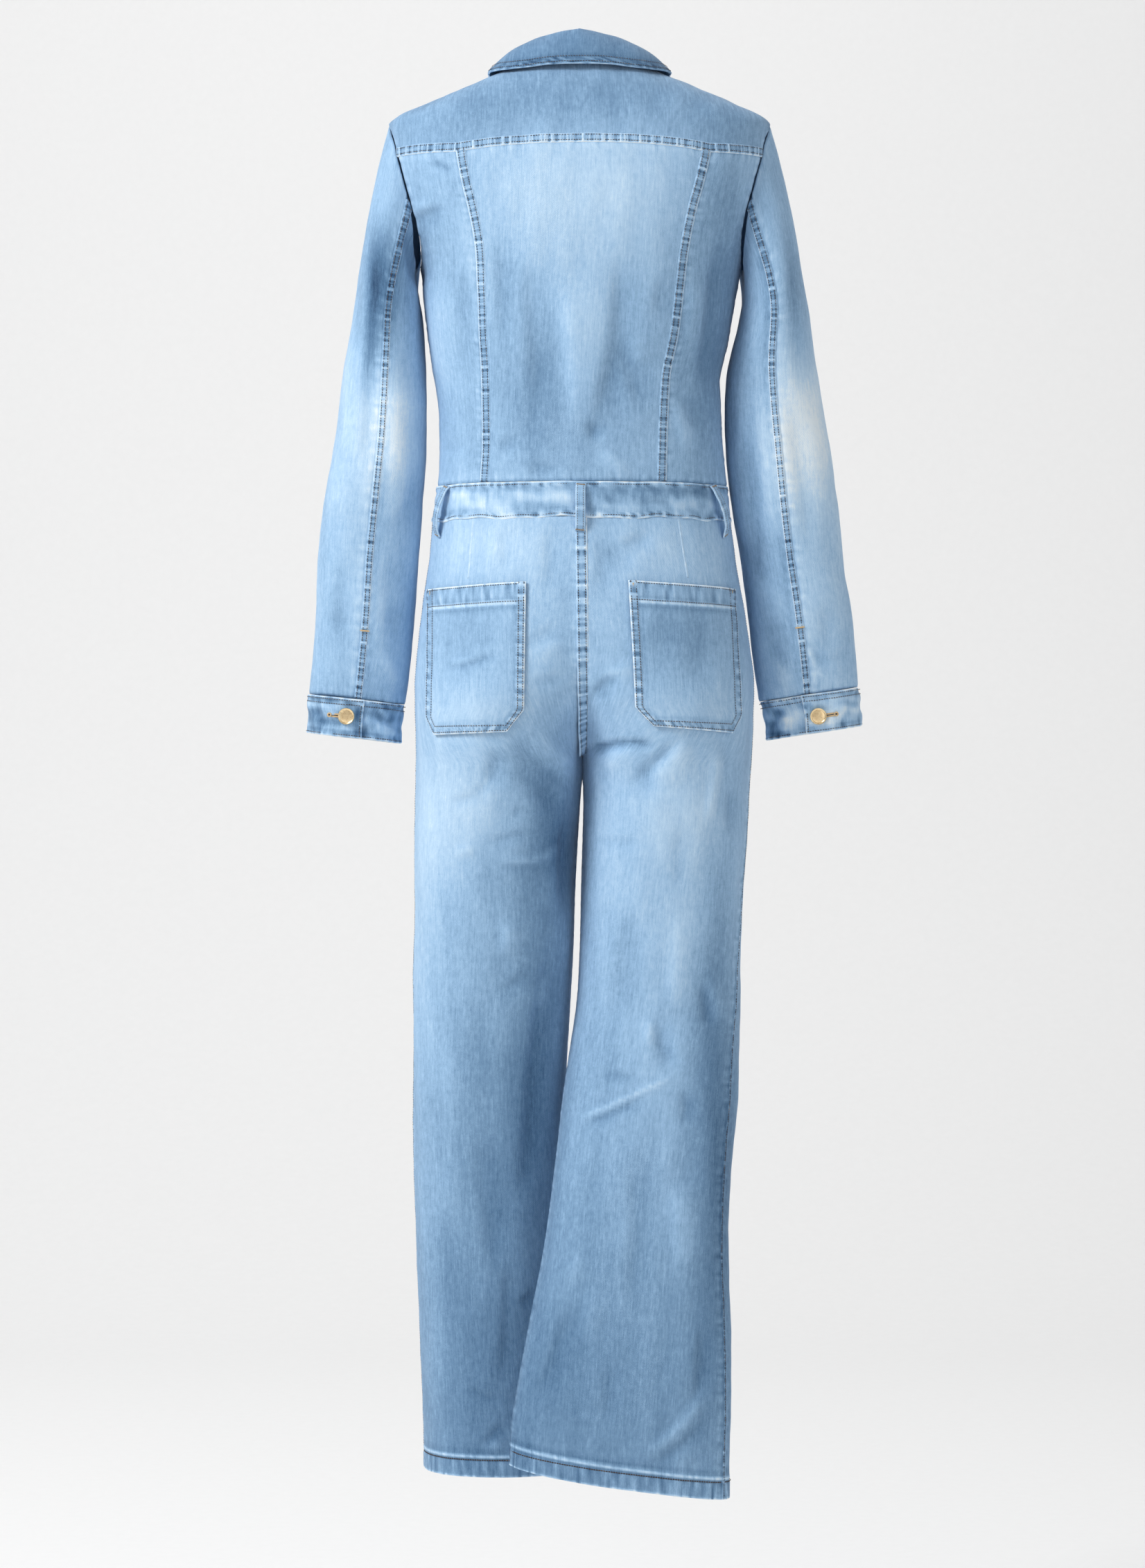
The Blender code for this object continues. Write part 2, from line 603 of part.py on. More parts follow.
def shoulder_seam(side):
    start = armhole_border(side, SHOULDER_SEAM, 0)[0]
    end = mirrored([(NECK_SHOULDER, 1.0)], side)[0]
    return spread(start, end, 5)


BODY_MIDDLE = np.array([0.0, 0.0, -220.0])


def add_body_panel(name, grid, colour=DENIM):
    add_panel(name, bodice, grid[..., 0], grid[..., 1], BODY_MIDDLE, ALL_ROUND, colour=colour)


def build_bodice():
    for side in ("left", "right"):
        left, right = side_border(side), princess(side)
        bottom = spread(left[0], right[0], BACK_COLUMNS)
        add_body_panel(f"side_back_{side}", patch(left, right, bottom, yoke_seam(side)))

        seam = spread((UNDERARM[side], 0.0), armhole_border(side, 180, 165)[0], SIDE_ROWS)
        left = chain(seam, armhole_border(side, -180, SHOULDER_SEAM))
        neck = mirrored(spread((NECK_SHOULDER, 1.0), (-90.0, 1.0), FRONT_COLUMNS - 5), side)
        right = mirrored(spread((-90.0, 0.0), (-90.0, 1.0), len(left) - 1), side)
        bottom = spread(left[0], right[0], FRONT_COLUMNS)
        add_body_panel(f"front_{side}", patch(left, right, bottom, chain(shoulder_seam(side), neck)))

    left, right = princess("left"), princess("right")
    bottom = spread(left[0], right[0], CENTRE_COLUMNS)
    add_body_panel("centre_back", patch(left, right, bottom, yoke_centre()))

    left = chain(armhole_border("left", YOKE_END, SHOULDER_SEAM), shoulder_seam("left"))
    right = chain(armhole_border("right", YOKE_END, SHOULDER_SEAM), shoulder_seam("right"))
    bottom = chain(yoke_seam("left"), yoke_centre(), yoke_seam("right")[::-1])
    top = spread(left[-1], right[-1], len(bottom) - 1)
    add_body_panel("back_yoke", patch(left, right, bottom, top), PALE_DENIM)


def front_strip(u, at):
    """Points of the front at x = u, for the placket and what lies on it."""
    table = {name: read(at) for name, read in BODICE_AT.items()}
    c = np.clip(np.abs(u) / np.where(u > 0, table["left"], table["right"]), 0, 1)
    angle = -90 + np.sign(u) * np.degrees(np.arcsin(rounded(c, 1 / 0.92)))
    return bodice(angle, at)


def build_placket():
    u = np.linspace(-PLACKET_WIDTH / 2, PLACKET_WIDTH / 2, 4)[None, :]
    at = np.linspace(0.004, 0.985, 19)[:, None]
    add_panel("placket", front_strip, u, at, BODY_MIDDLE, over=LIE + CLOTH, colour=PALE_DENIM)


# --- collar ------------------------------------------------------------------------------

COLLAR = (
    # from the front end round to the middle of the back: where on the bodice the leaf ends
    # and how far it lies over it, where the fold passes, and how far the leaf bows out
    ("turn", "leaf_at", "lift", "fold_x", "fold_y", "fold_z", "bow"),
    (0.0, 0.930, 8.5, 5.0, -79.0, -47.0, 1.0),
    (24.0, 0.872, 6.5, 25.0, -69.0, -36.0, 2.0),
    (55.0, 0.948, 4.6, 45.0, -40.0, -9.0, 2.0),
    (90.0, 0.973, 4.4, 51.0, 0.0, 19.0, 2.6),
    (130.0, 0.958, 4.4, 40.0, 38.0, 25.0, 5.0),
    (180.0, 0.946, 4.4, 0.0, 53.0, 28.5, 5.0),
)
COLLAR_AT = columns(COLLAR, "turn")


def near_turn(turn):
    """The same place on the left half. Turn runs from the left front end (0) round the
    back (180) to the right front end (360)."""
    turn = np.asarray(turn, float)
    return np.where(turn > 180, 360 - turn, turn)


def fold_line(turn):
    near = near_turn(turn)
    x = COLLAR_AT["fold_x"](near) * np.where(np.asarray(turn) > 180, -1, 1)
    return np.stack([x, COLLAR_AT["fold_y"](near), COLLAR_AT["fold_z"](near)], axis=-1)


def collar_stand(turn, up):
    turn, up = np.broadcast_arrays(np.asarray(turn, float), np.asarray(up, float))
    low = bodice(turn - 90, np.ones(turn.shape)) * [0.985, 0.985, 1] + [0, 0, 0.95]
    return low + (fold_line(turn) - low) * up[..., None]


def collar_fall(turn, down):
    """From the fold over and down to the leaf edge, bowed out a little."""
    turn, down = np.broadcast_arrays(np.asarray(turn, float), np.asarray(down, float))
    high, at = fold_line(turn), COLLAR_AT["leaf_at"](near_turn(turn))
    low = bodice(turn - 90, at)
    n = surface_normals(bodice, turn - 90, at, low * [1, 1, 0])
    low = low + COLLAR_AT["lift"](near_turn(turn))[..., None] * n
    out = high * [1, 1, 0]
    out = out / np.maximum(np.linalg.norm(out, axis=-1, keepdims=True), 1e-9)
    t = np.clip(down, 0, 1)[..., None]
    bow = COLLAR_AT["bow"](near_turn(turn))[..., None] * np.sin(np.pi * t) ** 0.8
    return high * (1 - t) + low * t + out * (3.9 * (1 - t) + 0.6 * bow) + 0.8 * bow * [0, 0, 1]


def build_collar():
    middle = np.array([0.0, 0.0, 0.0])
    turn, up = np.meshgrid(np.linspace(4, 356, 29), np.linspace(0.0, 1.0, 3), indexing="ij")
    add_panel("collar_stand", collar_stand, turn, up, middle, thick=DOUBLE, colour=PALE_DENIM)
    turn, down = np.meshgrid(np.linspace(3, 357, 29), np.linspace(0.0, 1.0, 5), indexing="ij")
    add_panel("collar_fall", collar_fall, turn, down, middle, thick=DOUBLE)


# --- sleeves and cuffs -------------------------------------------------------------------


def build_sleeves():
    rows = np.concatenate([[0.020], np.linspace(0, 1, 5)[1:], np.linspace(1, 2, 10)[1:]])
    for side in ("left", "right"):
        middle = np.array([side_sign(side) * 207, -10.0, 0.0])
        for name, start, end in (
            ("sleeve_top", SLEEVE_FRONT_SEAM, SLEEVE_BACK_SEAM),
            ("sleeve_under", SLEEVE_BACK_SEAM, SLEEVE_FRONT_SEAM + 360),
        ):
            turn = np.linspace(start, end, int(round((end - start) / ARMHOLE_STEP)) + 1)
            share = under_share(turn)[:, None]
            down = np.full(len(turn), 0.06)
            out = (sleeve(side, turn, down) - middle) * [1, 1, 0]
            own = surface_normals(lambda a, b: sleeve(side, a, b), turn, down, out)
            first = bodice_normals(side, turn) * (1 - share) + own * (0.5 + share)
            first /= np.linalg.norm(first, axis=-1, keepdims=True)
            turn, down = np.meshgrid(turn, rows, indexing="ij")
            add_panel(
                f"{name}_{side}", lambda a, b: sleeve(side, a, b), turn, down, middle, ALL_ROUND,
                first=first, gap=3 * SEAM,
            )

        middle = np.array([side_sign(side) * 232, -32.0, 0.0])
        turn, z = np.meshgrid(np.linspace(CUFF_START, CUFF_END, 28), np.linspace(-639.2, -684, 3), indexing="ij")
        add_panel(
            f"cuff_{side}", lambda a, b: cuff(side, a, b), turn, z, middle,
            thick=DOUBLE, over=0.5, colour=PALE_DENIM,
        )


# --- trousers ----------------------------------------------------------------------------

LEG_ROWS = (
    -462.8, -485, -515, -545, -575, -605, -635, -662, -683, -697, -705, -710, -722, -745, -785,
    -835, -890, -945, -1000, -1060, -1125, -1195, -1270, -1345, -1400,
)
LEG_COLUMNS = 9


def leg_rows(side):
    return np.array([*LEG_ROWS, LEGS[side][-1][0]], float)


def leg_middle(side, z):
    outer, inner = LEG_AT[side]["outer"](z), np.where(z > CROTCH, 0.0, LEG_AT[side]["inner"](z))
    x = side_sign(side) * (outer + inner) / 2
    return np.stack([x, LEG_AT[side]["middle"](z), z], axis=-1)


def build_legs():
    for side in ("left", "right"):
        z = leg_rows(side)[:, None]
        turn = LEG_AT[side]["turn"](z)
        u = np.linspace(0, 1, LEG_COLUMNS + 1)[None, :]
        for name, sense in (("leg_back", 1.0), ("leg_front", -1.0)):
            end = sense * inner_turn(side, z)
            angle, height = np.broadcast_arrays(turn + (end - turn) * u, z)
            add_panel(
                f"{name}_{side}", lambda a, b: leg(side, a, b), angle, height, leg_middle(side, height),
                (("first",), ("first", "last")),
            )


def pocket_points(side, corners, sense, count=7):
    """A grid over the pocket's outline: rows from the top edge to the bottom one."""
    c = np.array(corners, float)
    rows = np.linspace(0, 1, count)
    inner = np.interp(rows, (0, 0.84, 1), (0, 1, 2))
    outer = np.interp(rows, (0, 0.90, 1), (0, 1, 2))
    inner_line, outer_line = c[[0, 5, 4]], c[[1, 2, 3]]
    grid = []
    for a, b in zip(inner, outer):
        start = np.array([np.interp(a, (0, 1, 2), inner_line[:, k]) for k in (0, 1)])
        end = np.array([np.interp(b, (0, 1, 2), outer_line[:, k]) for k in (0, 1)])
        grid.append([start + (end - start) * t for t in np.linspace(0, 1, count)])
    grid = np.array(grid)
    turn = np.array([[seat_turn(side, x, z) for x, z in row] for row in grid])
    return sense * turn, grid[..., 1]


def build_pockets():
    for side in ("left", "right"):
        for name, corners, sense in (
            ("back_pocket", BACK_POCKET[side], 1.0), ("front_pocket", FRONT_POCKET[side], -1.0)
        ):
            turn, z = pocket_points(side, corners, sense)
            add_panel(
                f"{name}_{side}", lambda a, b: leg(side, a, b), turn, z, leg_middle(side, z), over=POCKET_LIE + CLOTH
            )


def build_fly():
    """On the wearer's right, from the waistband down to where the front seam turns under."""
    rows, across = np.linspace(0, 1, 9), np.linspace(0, 1, 4)
    turn, z = np.zeros((9, 4)), np.zeros((9, 4))
    for i, r in enumerate(rows):
        width = FLY_WIDTH * math.sqrt(max(0.0, 1 - max(0.0, (r - 0.72) / 0.30) ** 2))
        z[i] = BAND_BOTTOM - 1.0 - FLY_LENGTH * r
        turn[i] = [-seat_turn("right", -4.0 - width * t, z[i, 0]) for t in across]
    add_panel("fly", lambda a, b: leg("right", a, b), turn, z, leg_middle("right", z), over=LIE + CLOTH)


# --- waistband and loops -----------------------------------------------------------------


def build_waistband():
    angle, z = np.meshgrid(
        np.linspace(-99, 279, 41), np.linspace(WAIST_SEAM - 0.4, BAND_BOTTOM + 0.1, 3), indexing="ij"
    )
    add_panel("waistband", waistband, angle, z, np.zeros(3), thick=DOUBLE, colour=PALE_DENIM)


def on_meshes(names, point, out):
    """Where a line from outside meets the first of the named pieces."""
    trees = []
    for name in names:
        mesh = bpy.data.objects[name].data
        trees.append(BVHTree.FromPolygons([v.co for v in mesh.vertices], [p.vertices for p in mesh.polygons]))
    start = Vector((point + out * 40.0) * MM)
    hits = [tree.ray_cast(start, Vector(-out))[0] for tree in trees]
    return max((np.array(hit) / MM for hit in hits if hit), key=lambda hit: hit @ out)


def loop_line(top_angle, bottom_angle, stand, count=9):
    """Points down the middle of a belt loop and the directions out from the band. Its ends are
    sewn on the band's upper edge and on the leg below the band."""
    ends = []
    for angle, z, under in (
        (top_angle, LOOP_TOP, ("waistband",)),
        (bottom_angle, LOOP_BOTTOM, ("leg_back_left", "leg_back_right", "leg_front_left", "leg_front_right")),
    ):
        c, s = np.cos(np.radians(angle)), np.sin(np.radians(angle))
        out = np.array([c, s * 1.5, 0.0]) / np.hypot(c, s * 1.5)
        point = np.array([rounded(c, 0.93) * 150.0, rounded(s, 0.93) * 101.0, z])
        along = np.array([-out[1], out[0], 0.0]) * LOOP_WIDTH / 2
        hits = [on_meshes(under, point + along * k, out) for k in (-1, 0, 1)]
        ends.append((hits[1] + out * (max((hit - hits[1]) @ out for hit in hits) + 0.4), out))
    t = np.linspace(0, 1, count)[:, None]
    out = ends[0][1] * (1 - t) + ends[1][1] * t
    out /= np.linalg.norm(out, axis=-1, keepdims=True)
    line = ends[0][0] * (1 - t) + ends[1][0] * t
    return line + out * stand * np.sin(np.pi * t) ** 0.6, out


def build_loops():
    for name, (top, bottom, stand) in LOOPS.items():
        line, out = loop_line(top, bottom, stand)
        across = np.cross(out, np.gradient(line, axis=0))
        across /= np.linalg.norm(across, axis=-1, keepdims=True)
        t = np.array([-0.5, 0.5])[None, :, None] * LOOP_WIDTH
        face = line[:, None] + across[:, None] * t
        add(f"loop_{name}", *wall(face + out[:, None] * 2.2, face), PALE_DENIM)


# --- buttons -----------------------------------------------------------------------------

BUTTON_PROFILE = ((0.0, 3.0), (0.62, 3.0), (0.80, 3.4), (0.94, 3.2), (1.0, 2.4), (0.94, 1.4), (0.55, 1.2), (0.50, 0.0))


def add_button(name, point, out, radius=BUTTON, steps=16):
    """A dished metal cap on a short foot, its back towards the cloth."""
    out = np.asarray(out, float) / np.linalg.norm(out)
    a = np.cross(out, (0, 0, 1.0))
    a /= np.linalg.norm(a)
    b = np.cross(out, a)
    points, faces = [], []
    for r, h in BUTTON_PROFILE[1:]:
        for k in range(steps):
            w = 2 * math.pi * k / steps
            points.append(point + out * h + radius * r * (math.cos(w) * a + math.sin(w) * b))
    rings = len(BUTTON_PROFILE) - 1
    for i in range(rings - 1):
        for k in range(steps):
            n = (k + 1) % steps
            faces.append((i * steps + k, i * steps + n, (i + 1) * steps + n, (i + 1) * steps + k))
    faces.append(tuple(range(steps - 1, -1, -1)))
    faces.append(tuple((rings - 1) * steps + k for k in range(steps)))
    return add(name, np.array(points), faces, GOLD, 1.0)


def frame_at(surface, a, b, da, db):
    """A point of a surface and its normal, from small steps along both directions."""
    p = surface(a, b)
    n = np.cross(surface(a + da, b) - surface(a - da, b), surface(a, b + db) - surface(a, b - db))
    return p, n / np.linalg.norm(n)


def build_buttons():
    for side in ("left", "right"):
        turn = 360 + CUFF_BUTTON[side]
        p, n = frame_at(lambda a, b: cuff(side, a, b), turn, -661.0, 2, 5)
        if n[1] < 0:
            n = -n
        add_button(f"cuff_button_{side}", p + n * 1.1, n)
    for k, at in enumerate(FRONT_BUTTONS):
        p, n = frame_at(lambda a, b: front_strip(np.float64(a), np.float64(b)), 0.0, at, 4, 0.01)
        if n[1] > 0:
            n = -n
        add_button(f"front_button_{k + 1}", p + n * (LIE + CLOTH + 0.5), n)
    p, n = frame_at(waistband, 270.0, -440.0, 2, 4)
    if n[1] > 0:
        n = -n
    add_button("waist_button", p + n * 0.6, n)


def main():
    for obj in list(bpy.data.objects):
        bpy.data.objects.remove(obj, do_unlink=True)
    build_bodice()
    build_placket()
    build_collar()
    build_sleeves()
    build_waistband()
    build_legs()
    build_loops()
    build_pockets()
    build_fly()
    build_buttons()


if __name__ == "__main__":
    main()
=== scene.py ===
"""Looks of a light-washed denim jumpsuit with long sleeves and wide legs, hollow as worn.

Z is up, the front faces -Y, the wearer's left is +X and the origin is the middle of the neck.
Lengths are millimetres until a mesh is made. The cloth follows the same few surfaces as the
solids that it stands for, and gets its creases, laps, stitching and wash here, with painted shade
and highlights along its creases, seams and hems.
"""

from __future__ import annotations

import json
import logging
import math
import sys
from dataclasses import dataclass, field
from enum import Enum
from typing import Callable, Iterable, Sequence

import bpy
import numpy as np
from mathutils import Matrix, Vector

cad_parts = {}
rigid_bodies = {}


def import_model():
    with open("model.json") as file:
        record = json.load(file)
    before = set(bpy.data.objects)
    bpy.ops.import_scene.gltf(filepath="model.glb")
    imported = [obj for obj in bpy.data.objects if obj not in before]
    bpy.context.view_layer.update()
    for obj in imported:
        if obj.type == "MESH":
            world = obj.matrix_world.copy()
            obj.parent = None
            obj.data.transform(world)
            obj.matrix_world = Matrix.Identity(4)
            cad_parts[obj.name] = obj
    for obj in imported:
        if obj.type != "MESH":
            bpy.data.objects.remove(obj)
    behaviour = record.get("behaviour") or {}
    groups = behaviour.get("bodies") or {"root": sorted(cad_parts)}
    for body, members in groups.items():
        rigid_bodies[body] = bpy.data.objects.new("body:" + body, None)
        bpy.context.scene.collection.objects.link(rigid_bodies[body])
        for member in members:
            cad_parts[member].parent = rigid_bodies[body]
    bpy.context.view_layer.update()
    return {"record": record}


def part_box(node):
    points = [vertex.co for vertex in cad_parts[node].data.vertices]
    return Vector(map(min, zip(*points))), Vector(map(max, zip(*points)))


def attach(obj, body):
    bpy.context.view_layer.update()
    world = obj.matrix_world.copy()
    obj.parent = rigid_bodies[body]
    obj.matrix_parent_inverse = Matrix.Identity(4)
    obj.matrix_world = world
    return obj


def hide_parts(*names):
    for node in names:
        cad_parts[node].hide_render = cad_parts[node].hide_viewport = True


LOG = logging.getLogger("jumpsuit")
MM = 0.001

Array = np.ndarray
Surface = Callable[[Array, Array], Array]
Places = tuple[Array, Array]
Ways = tuple[Array, Array, Array, Array]
Triple = tuple[float, float, float]
Socket = bpy.types.NodeSocket


class Side(Enum):
    """The wearer's sides."""

    LEFT = "left"
    RIGHT = "right"

    @property
    def sign(self) -> float:
        """The sign of x on this side."""
        return 1.0 if self is Side.LEFT else -1.0

    def angle(self, left: Array | float) -> Array | float:
        """An angle round the body, given for the left side."""
        return left if self is Side.LEFT else 180.0 - left


class Face(Enum):
    """The half of the garment that a crease or fade lies on."""

    BACK = 1.0
    FRONT = -1.0


class Edge(Enum):
    """How the border of a cloth panel is finished."""

    SEAM = "seam"  # sewn to its neighbour, under a lap or pressed open
    FOLD = "fold"  # turned under, and worn pale along the fold
    NONE = "none"  # goes on unseen


# --- curves and tables -------------------------------------------------------------------


class Curve:
    """A smooth curve through a few values, which never overshoots them."""

    def __init__(self, x: Sequence[float], y: Sequence[float]) -> None:
        """Args:
        x: Where the values are, rising or falling.
        y: The values.
        """
        x_in, y_in = np.asarray(x, float), np.asarray(y, float)
        if x_in[0] > x_in[-1]:
            x_in, y_in = x_in[::-1], y_in[::-1]
        self.x, self.y, self.step = x_in, y_in, np.diff(x_in)
        slope = np.diff(y_in) / self.step
        tangent = np.empty_like(y_in)
        tangent[0], tangent[-1] = slope[0], slope[-1]
        tangent[1:-1] = (slope[:-1] * self.step[1:] + slope[1:] * self.step[:-1]) / (self.step[1:] + self.step[:-1])
        tangent[1:-1][slope[:-1] * slope[1:] <= 0] = 0
        self.tangent = tangent

    def __call__(self, at: Array | float) -> Array:
        """The curve's value at each place, held level past its ends."""
        at = np.clip(np.asarray(at, float), self.x[0], self.x[-1])
        i = np.clip(np.searchsorted(self.x, at) - 1, 0, len(self.x) - 2)
        h, t = self.step[i], (at - self.x[i]) / self.step[i]
        return joined(t, self.y[i], h * self.tangent[i], self.y[i + 1], h * self.tangent[i + 1])


class Rings:
    """A table of rings up a limb: the first row names its columns, the first column is the key."""

    def __init__(self, table: Sequence[Sequence]) -> None:
        """Args:
        table: The row of names, then one row of numbers for each ring.
        """
        rows = np.array(table[1:], float)
        self.first, self.last = rows[0, 0], rows[-1, 0]
        self.curves = {name: Curve(rows[:, 0], rows[:, k]) for k, name in enumerate(table[0])}

    def at(self, key: Array | float) -> dict[str, Array]:
        """Every column's value at a height."""
        return {name: curve(key) for name, curve in self.curves.items()}


def eased(value: Array | float) -> Array:
    """0 to 1 with a soft start and end, held level outside."""
    t = np.clip(value, 0.0, 1.0)
    return t * t * (3 - 2 * t)


def bell(value: Array, reach: float | Array, middle: float = 0.0) -> Array:
    """1 at the middle, dying away on both sides of it."""
    return np.exp(-(((value - middle) / reach) ** 2))


def rounded(value: Array | float, power: float | Array) -> Array:
    """A sine or cosine made fuller or flatter, for a section squarer than an ellipse."""
    return np.sign(value) * np.abs(value) ** power


def paired(a: Array | float, b: Array | float) -> Places:
    """Two parameters as arrays of one shape."""
    return tuple(np.broadcast_arrays(np.asarray(a, float), np.asarray(b, float)))


def compass(degrees: Array | float) -> Places:
    """The cosine and sine of an angle."""
    return np.cos(np.radians(degrees)), np.sin(np.radians(degrees))


def joined(t: Array, start: Array, leave: Array, end: Array, arrive: Array) -> Array:
    """The smooth curve between two points with the given tangents, at shares of the way."""
    return (
        (1 + 2 * t) * (1 - t) ** 2 * start
        + t * (1 - t) ** 2 * leave
        + t * t * (3 - 2 * t) * end
        + t * t * (t - 1) * arrive
    )


def unit(vectors: Array) -> Array:
    """The vectors at length 1."""
    return vectors / np.maximum(np.linalg.norm(vectors, axis=-1, keepdims=True), 1e-12)


def lengths(points: Array, axis: int) -> Array:
    """How far along its own line each point of a grid lies, from 0."""
    step = np.linalg.norm(np.diff(points, axis=axis), axis=-1)
    start = np.zeros_like(np.take(step, [0], axis=axis))
    return np.concatenate([start, np.cumsum(step, axis=axis)], axis=axis)


def normals_of(surface: Surface, a: Array, b: Array, outwards: Array) -> Array:
    """Unit normals of a surface, all on the side that `outwards` is."""
    a, b = paired(a, b)
    da, db = 0.4, 1e-3 * max(float(np.ptp(b)), 1e-2)
    n = unit(np.cross(surface(a + da, b) - surface(a - da, b), surface(a, b + db) - surface(a, b - db)))
    return n if np.sum(n * outwards) > 0 else -n


# --- the surfaces ------------------------------------------------------------------------

WAIST_SEAM = -427.5  # the bodice ends here and the waistband starts
BAND_BOTTOM = -462.5
CROTCH = -710.0

BODICE = (
    # height 0-1, left and right half-width, back and front depth, z at side, back and front
    ("at", "left", "right", "back", "front", "z_side", "z_back", "z_front"),
    (0, 144, 149.5, 97, 100, -427.5, -427.5, -427.5),
    (0.075, 142.3, 147, 97, 103, -392, -392, -392),
    (0.218, 146, 145, 102, 112, -326, -326, -328),
    (0.317, 153, 153, 107, 122, -283, -283, -288),
    (0.437, 160, 161, 111.5, 128, -230, -230, -240),
    (0.505, 165, 166, 113.5, 128, -203, -203, -217),
    (0.597, 177, 177, 115, 124, -160, -161, -184),
    (0.688, 188, 188, 113.5, 116, -118, -121, -153),
    (0.768, 194, 194, 107.5, 108, -82, -85, -128),
    (0.835, 193, 192, 98, 102, -55, -57, -111),
    (0.89, 158, 158, 87, 96, -38.5, -34.5, -99),
    (0.95, 111, 111, 73, 88, -19, -13.5, -87),
    (1, 68, 68, 59, 78, -1, 6, -75),
)

SLEEVES = {
    # outermost and innermost x, middle and half of the depth, by height
    Side.LEFT: (
        ("z", "outer", "inner", "middle", "half"),
        (-262, 233, 159.5, -4, 60),
        (-304, 240, 157, -6, 57),
        (-368, 248, 156.5, -9, 53),
        (-432, 259, 158.5, -13, 49),
        (-496, 267, 164, -18, 45),
        (-560, 271, 169.5, -23, 41),
        (-610, 275, 175.5, -28, 37),
        (-638.5, 278, 179.5, -31, 33),
    ),
    Side.RIGHT: (
        ("z", "outer", "inner", "middle", "half"),
        (-262, 236.5, 161, -6, 60),
        (-304, 243.5, 150.5, -9, 55),
        (-347, 251, 148.5, -12, 52),
        (-389, 258, 150, -14, 50),
        (-453, 265, 156.5, -17, 46),
        (-496, 269, 163.5, -20, 44),
        (-560, 279, 173, -24, 41),
        (-610, 284, 180.5, -28, 37),
        (-638.5, 286, 185, -31, 33),
    ),
}
CUFFS = {
    Side.LEFT: (
        ("z", "outer", "inner", "middle", "half"),
        (-639, 278.5, 180, -31, 32),
        (-661, 279.5, 183.5, -32, 30),
        (-684, 280, 185, -33, 31),
    ),
    Side.RIGHT: (
        ("z", "outer", "inner", "middle", "half"),
        (-639, 286.5, 186, -31, 32),
        (-661, 289.5, 191, -32, 30),
        (-684, 290, 193, -33, 31),
    ),
}

LEGS = {
    # z, how far the two legs have parted (1 at the crotch), outermost and innermost x,
    # middle of the depth, back and front depth, turn of the outseam in degrees
    Side.LEFT: (
        ("z", "parted", "outer", "inner", "middle", "back", "front", "turn"),
        (-462.5, 0, 149, 0, 0, 98, 98, 0),
        (-500, 0.03, 152, 0, 0, 106, 100, 0),
        (-545, 0.1, 158.5, 0, 0, 114, 102, 0),
        (-590, 0.24, 164, 0, 0, 118, 103, 0),
        (-630, 0.52, 167.5, 0, 0, 118, 102, 0),
        (-665, 0.83, 167, 0, 0, 113, 99, 0),
        (-690, 0.965, 166.5, 0, 0, 107, 96, 0),
        (-703, 0.996, 166.5, 0, 0, 103, 94, 0),
        (-710, 1, 166.5, -3, 0, 101, 93, 0),
        (-722, 1, 166.5, -2.4, -1, 98, 91, 0),
        (-750, 1, 167, -0.5, -3, 92, 88, 0),
        (-793, 1, 168.5, 2.2, -6, 84, 84, 0),
        (-835, 1, 168.5, 4.4, -10, 78, 80, 0),
        (-900, 1, 169, 6.5, -16, 72, 75, 0),
        (-963, 1, 169, 10, -22, 68, 72, 0),
        (-1046, 1, 170, 14, -31, 66, 70, 0),
        (-1133, 1, 169, 14, -40, 66, 69, 0),
        (-1239, 1, 167, 11, -49, 67, 69, 0),
        (-1324, 1, 163, 7, -55, 68, 69, 0),
        (-1395, 1, 160.5, 3, -58, 69, 70, 0),
        (-1437, 1, 160, 1, -59, 70, 71, 0),
    ),
    Side.RIGHT: (
        ("z", "parted", "outer", "inner", "middle", "back", "front", "turn"),
        (-462.5, 0, 153.6, 0, 0, 98, 98, 0),
        (-500, 0.03, 159, 0, 0, 106, 100, 0),
        (-545, 0.1, 167, 0, 0, 114, 102, 0),
        (-590, 0.24, 173.5, 0, 0, 118, 103, 0),
        (-630, 0.52, 176.5, 0, 0, 118, 102, 2),
        (-665, 0.83, 175.5, 0, 0, 113, 99, 4),
        (-690, 0.965, 174.5, 0, 0, 107, 96, 6),
        (-703, 0.996, 174, 0, 0, 103, 94, 6),
        (-710, 1, 174, 3, 0, 101, 93, 7),
        (-722, 1, 173.5, 3.5, 0, 98, 90, 8),
        (-750, 1, 172.5, 4.2, 1, 93, 86, 10),
        (-793, 1, 170.5, 3.2, 2, 86, 80, 12),
        (-835, 1, 167.5, 2, 2, 79, 74, 15),
        (-900, 1, 165, 0.5, 0, 70, 66, 20),
        (-958, 1, 164.5, -3, -2, 64, 60, 25),
        (-996, 1, 162.5, -8.5, 2, 61, 57, 27),
        (-1046, 1, 160.5, -16, 11, 57, 53, 28),
        (-1113, 1, 155, -23.5, 26, 53, 48, 28),
        (-1217, 1, 151, -37, 44, 48, 43, 26),
        (-1290, 1, 152, -50.5, 54, 42, 38, 24),
        (-1365, 1, 152, -63, 60, 37, 34, 22),
        (-1405, 1, 151, -68.5, 62, 35, 33, 22),
        (-1451, 1, 150.5, -70, 63, 34, 32, 22),
    ),
}

COLLAR = (
    # from the front end round to the middle of the back: where on the bodice the leaf ends
    # and how far it lies over it, where the fold passes, and how far the leaf bows out
    ("turn", "leaf_at", "lift", "fold_x", "fold_y", "fold_z", "bow"),
    (0, 0.93, 8.5, 5, -79, -47, 1),
    (24, 0.872, 6.5, 25, -69, -36, 2),
    (55, 0.948, 4.6, 45, -40, -9, 2),
    (90, 0.973, 4.4, 51, 0, 19, 2.6),
    (130, 0.958, 4.4, 40, 38, 25, 5),
    (180, 0.946, 4.4, 0, 53, 28.5, 5),
)

